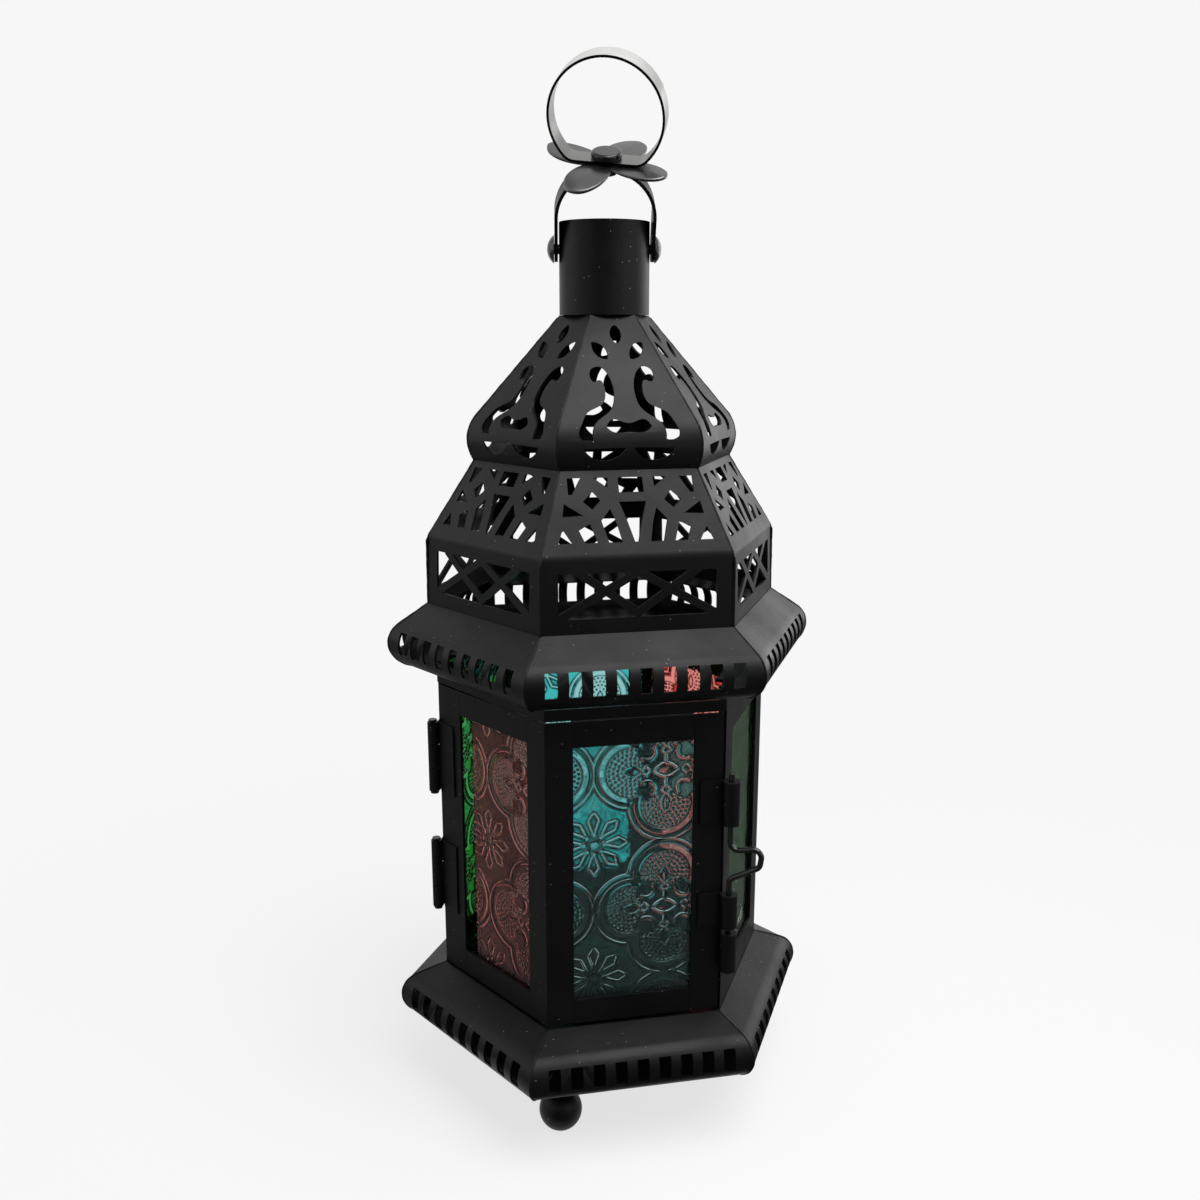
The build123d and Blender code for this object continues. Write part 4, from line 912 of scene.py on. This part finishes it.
class LANTERN_OT_stage(bpy.types.Operator):
    """Pale floor, soft lamps and the camera of the picture"""

    bl_idname = "lantern.stage"
    bl_label = "Stage"

    # Place, target, size and power setting of each lamp
    lamps = {
        "top_lamp": ((0.28, -0.17, 0.76), (0.0, 0.0, 0.10), 0.55, "top_power"),
        "left_lamp": ((-0.80, -0.30, 0.45), (0.0, 0.0, 0.12), 0.50, "side_power"),
        "right_lamp": ((0.85, -0.10, 0.40), (0.0, 0.0, 0.12), 0.50, "side_power"),
        "back_lamp": ((0.50, 0.80, 0.28), (0.0, 0.0, 0.10), 0.60, "back_power"),
    }
    # Grey and corners of each card
    cards = {
        "front_card": (0.06, [
            (-0.05, -0.07, 0.001), (-0.05, -1.2, 0.001), (1.2, -1.2, 0.001), (1.2, 0.9, 0.001),
            (0.05, 0.9, 0.001), (0.05, -0.02, 0.001)]),
        "upright_card": (0.06, [(-0.3, -1.2, 0.0), (1.2, -1.2, 0.0), (1.2, -1.2, 0.55), (-0.3, -1.2, 0.55)]),
        "left_card": (0.26, [
            (-0.05, -0.07, 0.001), (-0.056, 0.3, 0.001), (-1.2, 0.3, 0.001), (-1.2, -1.2, 0.001),
            (-0.05, -1.2, 0.001)]),
    }
    camera_place, camera_tilt, camera_turn = (0.09542, -0.28770, 0.19930), 77.226, 18.546
    floor_half, even_light = 6.0, 0.35

    def execute(self, context):
        settings = context.scene.lantern_stage
        self.floor(settings)
        self.world(settings)
        for name, (place, target, size, power) in self.lamps.items():
            self.lamp(name, place, target, size, getattr(settings, power))
        for name, (grey, corners) in self.cards.items():
            self.card(name, grey, corners)
        self.camera(settings)
        context.scene.view_settings.view_transform = "Standard"
        return {"FINISHED"}

    def floor(self, settings):
        """Flat floor under the feet that fades to the background away from the lantern."""
        mesh = bpy.data.meshes.new("pale_floor")
        half = self.floor_half
        corners = [(-half, -half, 0), (half, -half, 0), (half, half, 0), (-half, half, 0)]
        mesh.from_pydata(corners, [], [(0, 1, 2, 3)])
        material = bpy.data.materials.new("pale_floor")
        material.use_nodes = True
        tree = material.node_tree
        shader = tree.nodes["Principled BSDF"]
        shader.inputs["Base Color"].default_value = (0.82, 0.82, 0.82, 1.0)
        shader.inputs["Roughness"].default_value = 0.9
        shader.inputs["Specular IOR Level"].default_value = 0.0
        glow = add_node(tree, "ShaderNodeEmission")
        glow.inputs["Color"].default_value = (*settings.background, 1.0)
        place = tree.nodes.new("ShaderNodeTexCoord")
        length = add_node(tree, "ShaderNodeVectorMath", operation="LENGTH")
        fade = add_node(tree, "ShaderNodeMapRange")
        for label, value in (("From Min", 0.05), ("From Max", 0.30), ("To Min", 0.78), ("To Max", 1.0)):
            fade.inputs[label].default_value = value
        seen = self.seen(tree)
        amount = add_node(tree, "ShaderNodeMath", operation="MULTIPLY")
        mix = tree.nodes.new("ShaderNodeMixShader")
        tree.links.new(place.outputs["Object"], length.inputs[0])
        tree.links.new(length.outputs["Value"], fade.inputs["Value"])
        tree.links.new(fade.outputs[0], amount.inputs[0])
        tree.links.new(seen, amount.inputs[1])
        tree.links.new(amount.outputs[0], mix.inputs[0])
        tree.links.new(shader.outputs[0], mix.inputs[1])
        tree.links.new(glow.outputs[0], mix.inputs[2])
        tree.links.new(mix.outputs[0], tree.nodes["Material Output"].inputs["Surface"])
        mesh.materials.append(material)
        floor = bpy.data.objects.new("pale_floor", mesh)
        bpy.context.scene.collection.objects.link(floor)

    def seen(self, tree):
        """1 for rays from the camera, and for reflected and transmitted ones."""
        path = tree.nodes.new("ShaderNodeLightPath")
        first = add_node(tree, "ShaderNodeMath", operation="MAXIMUM")
        second = add_node(tree, "ShaderNodeMath", operation="MAXIMUM")
        tree.links.new(path.outputs["Is Camera Ray"], first.inputs[0])
        tree.links.new(path.outputs["Is Glossy Ray"], first.inputs[1])
        tree.links.new(first.outputs[0], second.inputs[0])
        tree.links.new(path.outputs["Is Transmission Ray"], second.inputs[1])
        return second.outputs[0]

    def world(self, settings):
        """Even light all round, and the background for rays that see it."""
        world = bpy.data.worlds.new("even_light")
        bpy.context.scene.world = world
        world.use_nodes = True
        tree = world.node_tree
        even = tree.nodes["Background"]
        even.inputs["Color"].default_value = (1.0, 1.0, 1.0, 1.0)
        even.inputs["Strength"].default_value = self.even_light
        behind = add_node(tree, "ShaderNodeBackground")
        behind.inputs["Color"].default_value = (*settings.background, 1.0)
        mix = tree.nodes.new("ShaderNodeMixShader")
        tree.links.new(self.seen(tree), mix.inputs[0])
        tree.links.new(even.outputs[0], mix.inputs[1])
        tree.links.new(behind.outputs[0], mix.inputs[2])
        tree.links.new(mix.outputs[0], tree.nodes["World Output"].inputs["Surface"])

    def lamp(self, name, place, target, size, power):
        """Square soft lamp that looks at a target."""
        light = bpy.data.lights.new(name, "AREA")
        light.size = size
        light.energy = power
        lamp = bpy.data.objects.new(name, light)
        bpy.context.scene.collection.objects.link(lamp)
        lamp.location = place
        lamp.visible_camera = False
        lamp.visible_transmission = False
        x, y, z = np.array(place) - np.array(target)
        lamp.rotation_euler = (math.atan2(math.hypot(x, y), z), 0.0, math.atan2(x, -y))

    def card(self, name, grey, corners):
        """Plain card that shows only as a reflection in the paint and the glass."""
        mesh = bpy.data.meshes.new(name)
        mesh.from_pydata(corners, [], [tuple(range(len(corners)))])
        material = bpy.data.materials.new(name)
        material.use_nodes = True
        shader = material.node_tree.nodes["Principled BSDF"]
        shader.inputs["Base Color"].default_value = (grey, grey, grey, 1.0)
        shader.inputs["Roughness"].default_value = 1.0
        mesh.materials.append(material)
        card = bpy.data.objects.new(name, mesh)
        bpy.context.scene.collection.objects.link(card)
        for rays in ("camera", "diffuse", "transmission", "volume_scatter", "shadow"):
            setattr(card, f"visible_{rays}", False)

    def camera(self, settings):
        """Camera close in front of the latch side of the door, looking a little down."""
        data = bpy.data.cameras.new("camera")
        data.sensor_width = 36.0
        data.lens = settings.focal_length
        data.clip_start = 0.01
        camera = bpy.data.objects.new("camera", data)
        bpy.context.scene.collection.objects.link(camera)
        camera.location = self.camera_place
        camera.rotation_euler = (math.radians(self.camera_tilt), 0.0, math.radians(self.camera_turn))
        bpy.context.scene.camera = camera


class LANTERN_PT_panel(bpy.types.Panel):
    """Lists the steps that dress the lantern"""

    bl_idname = "LANTERN_PT_panel"
    bl_label = "Lantern"
    bl_space_type = "VIEW_3D"
    bl_region_type = "UI"
    bl_category = "Lantern"

    def draw(self, context):
        for operator in OPERATORS:
            self.layout.operator(operator.bl_idname)
        for key in SETTINGS:
            group = getattr(context.scene, key)
            for prop in group.bl_rna.properties:
                if prop.identifier not in {"rna_type", "name"}:
                    self.layout.prop(group, prop.identifier)


OPERATORS = (
    LANTERN_OT_painted_sheet, LANTERN_OT_embossed_panes, LANTERN_OT_soldered_seams, LANTERN_OT_petal_plate,
    LANTERN_OT_stage,
)
SETTINGS = {
    "lantern_paint": LanternPaintSettings,
    "lantern_glass": LanternGlassSettings,
    "lantern_seams": LanternSeamSettings,
    "lantern_stage": LanternStageSettings,
}


def register():
    """Register the settings, the operators and the panel."""
    for key, group in SETTINGS.items():
        bpy.utils.register_class(group)
        setattr(bpy.types.Scene, key, bpy.props.PointerProperty(type=group))
    for cls in (*OPERATORS, LANTERN_PT_panel):
        bpy.utils.register_class(cls)


def unregister():
    """Take away what register added."""
    for cls in reversed((*OPERATORS, LANTERN_PT_panel)):
        bpy.utils.unregister_class(cls)
    for key, group in reversed(SETTINGS.items()):
        delattr(bpy.types.Scene, key)
        bpy.utils.unregister_class(group)


def main():
    """Dress the lantern step by step."""
    register()
    for operator in OPERATORS:
        area, name = operator.bl_idname.split(".")
        getattr(getattr(bpy.ops, area), name)()


if __name__ == "__main__":
    main()
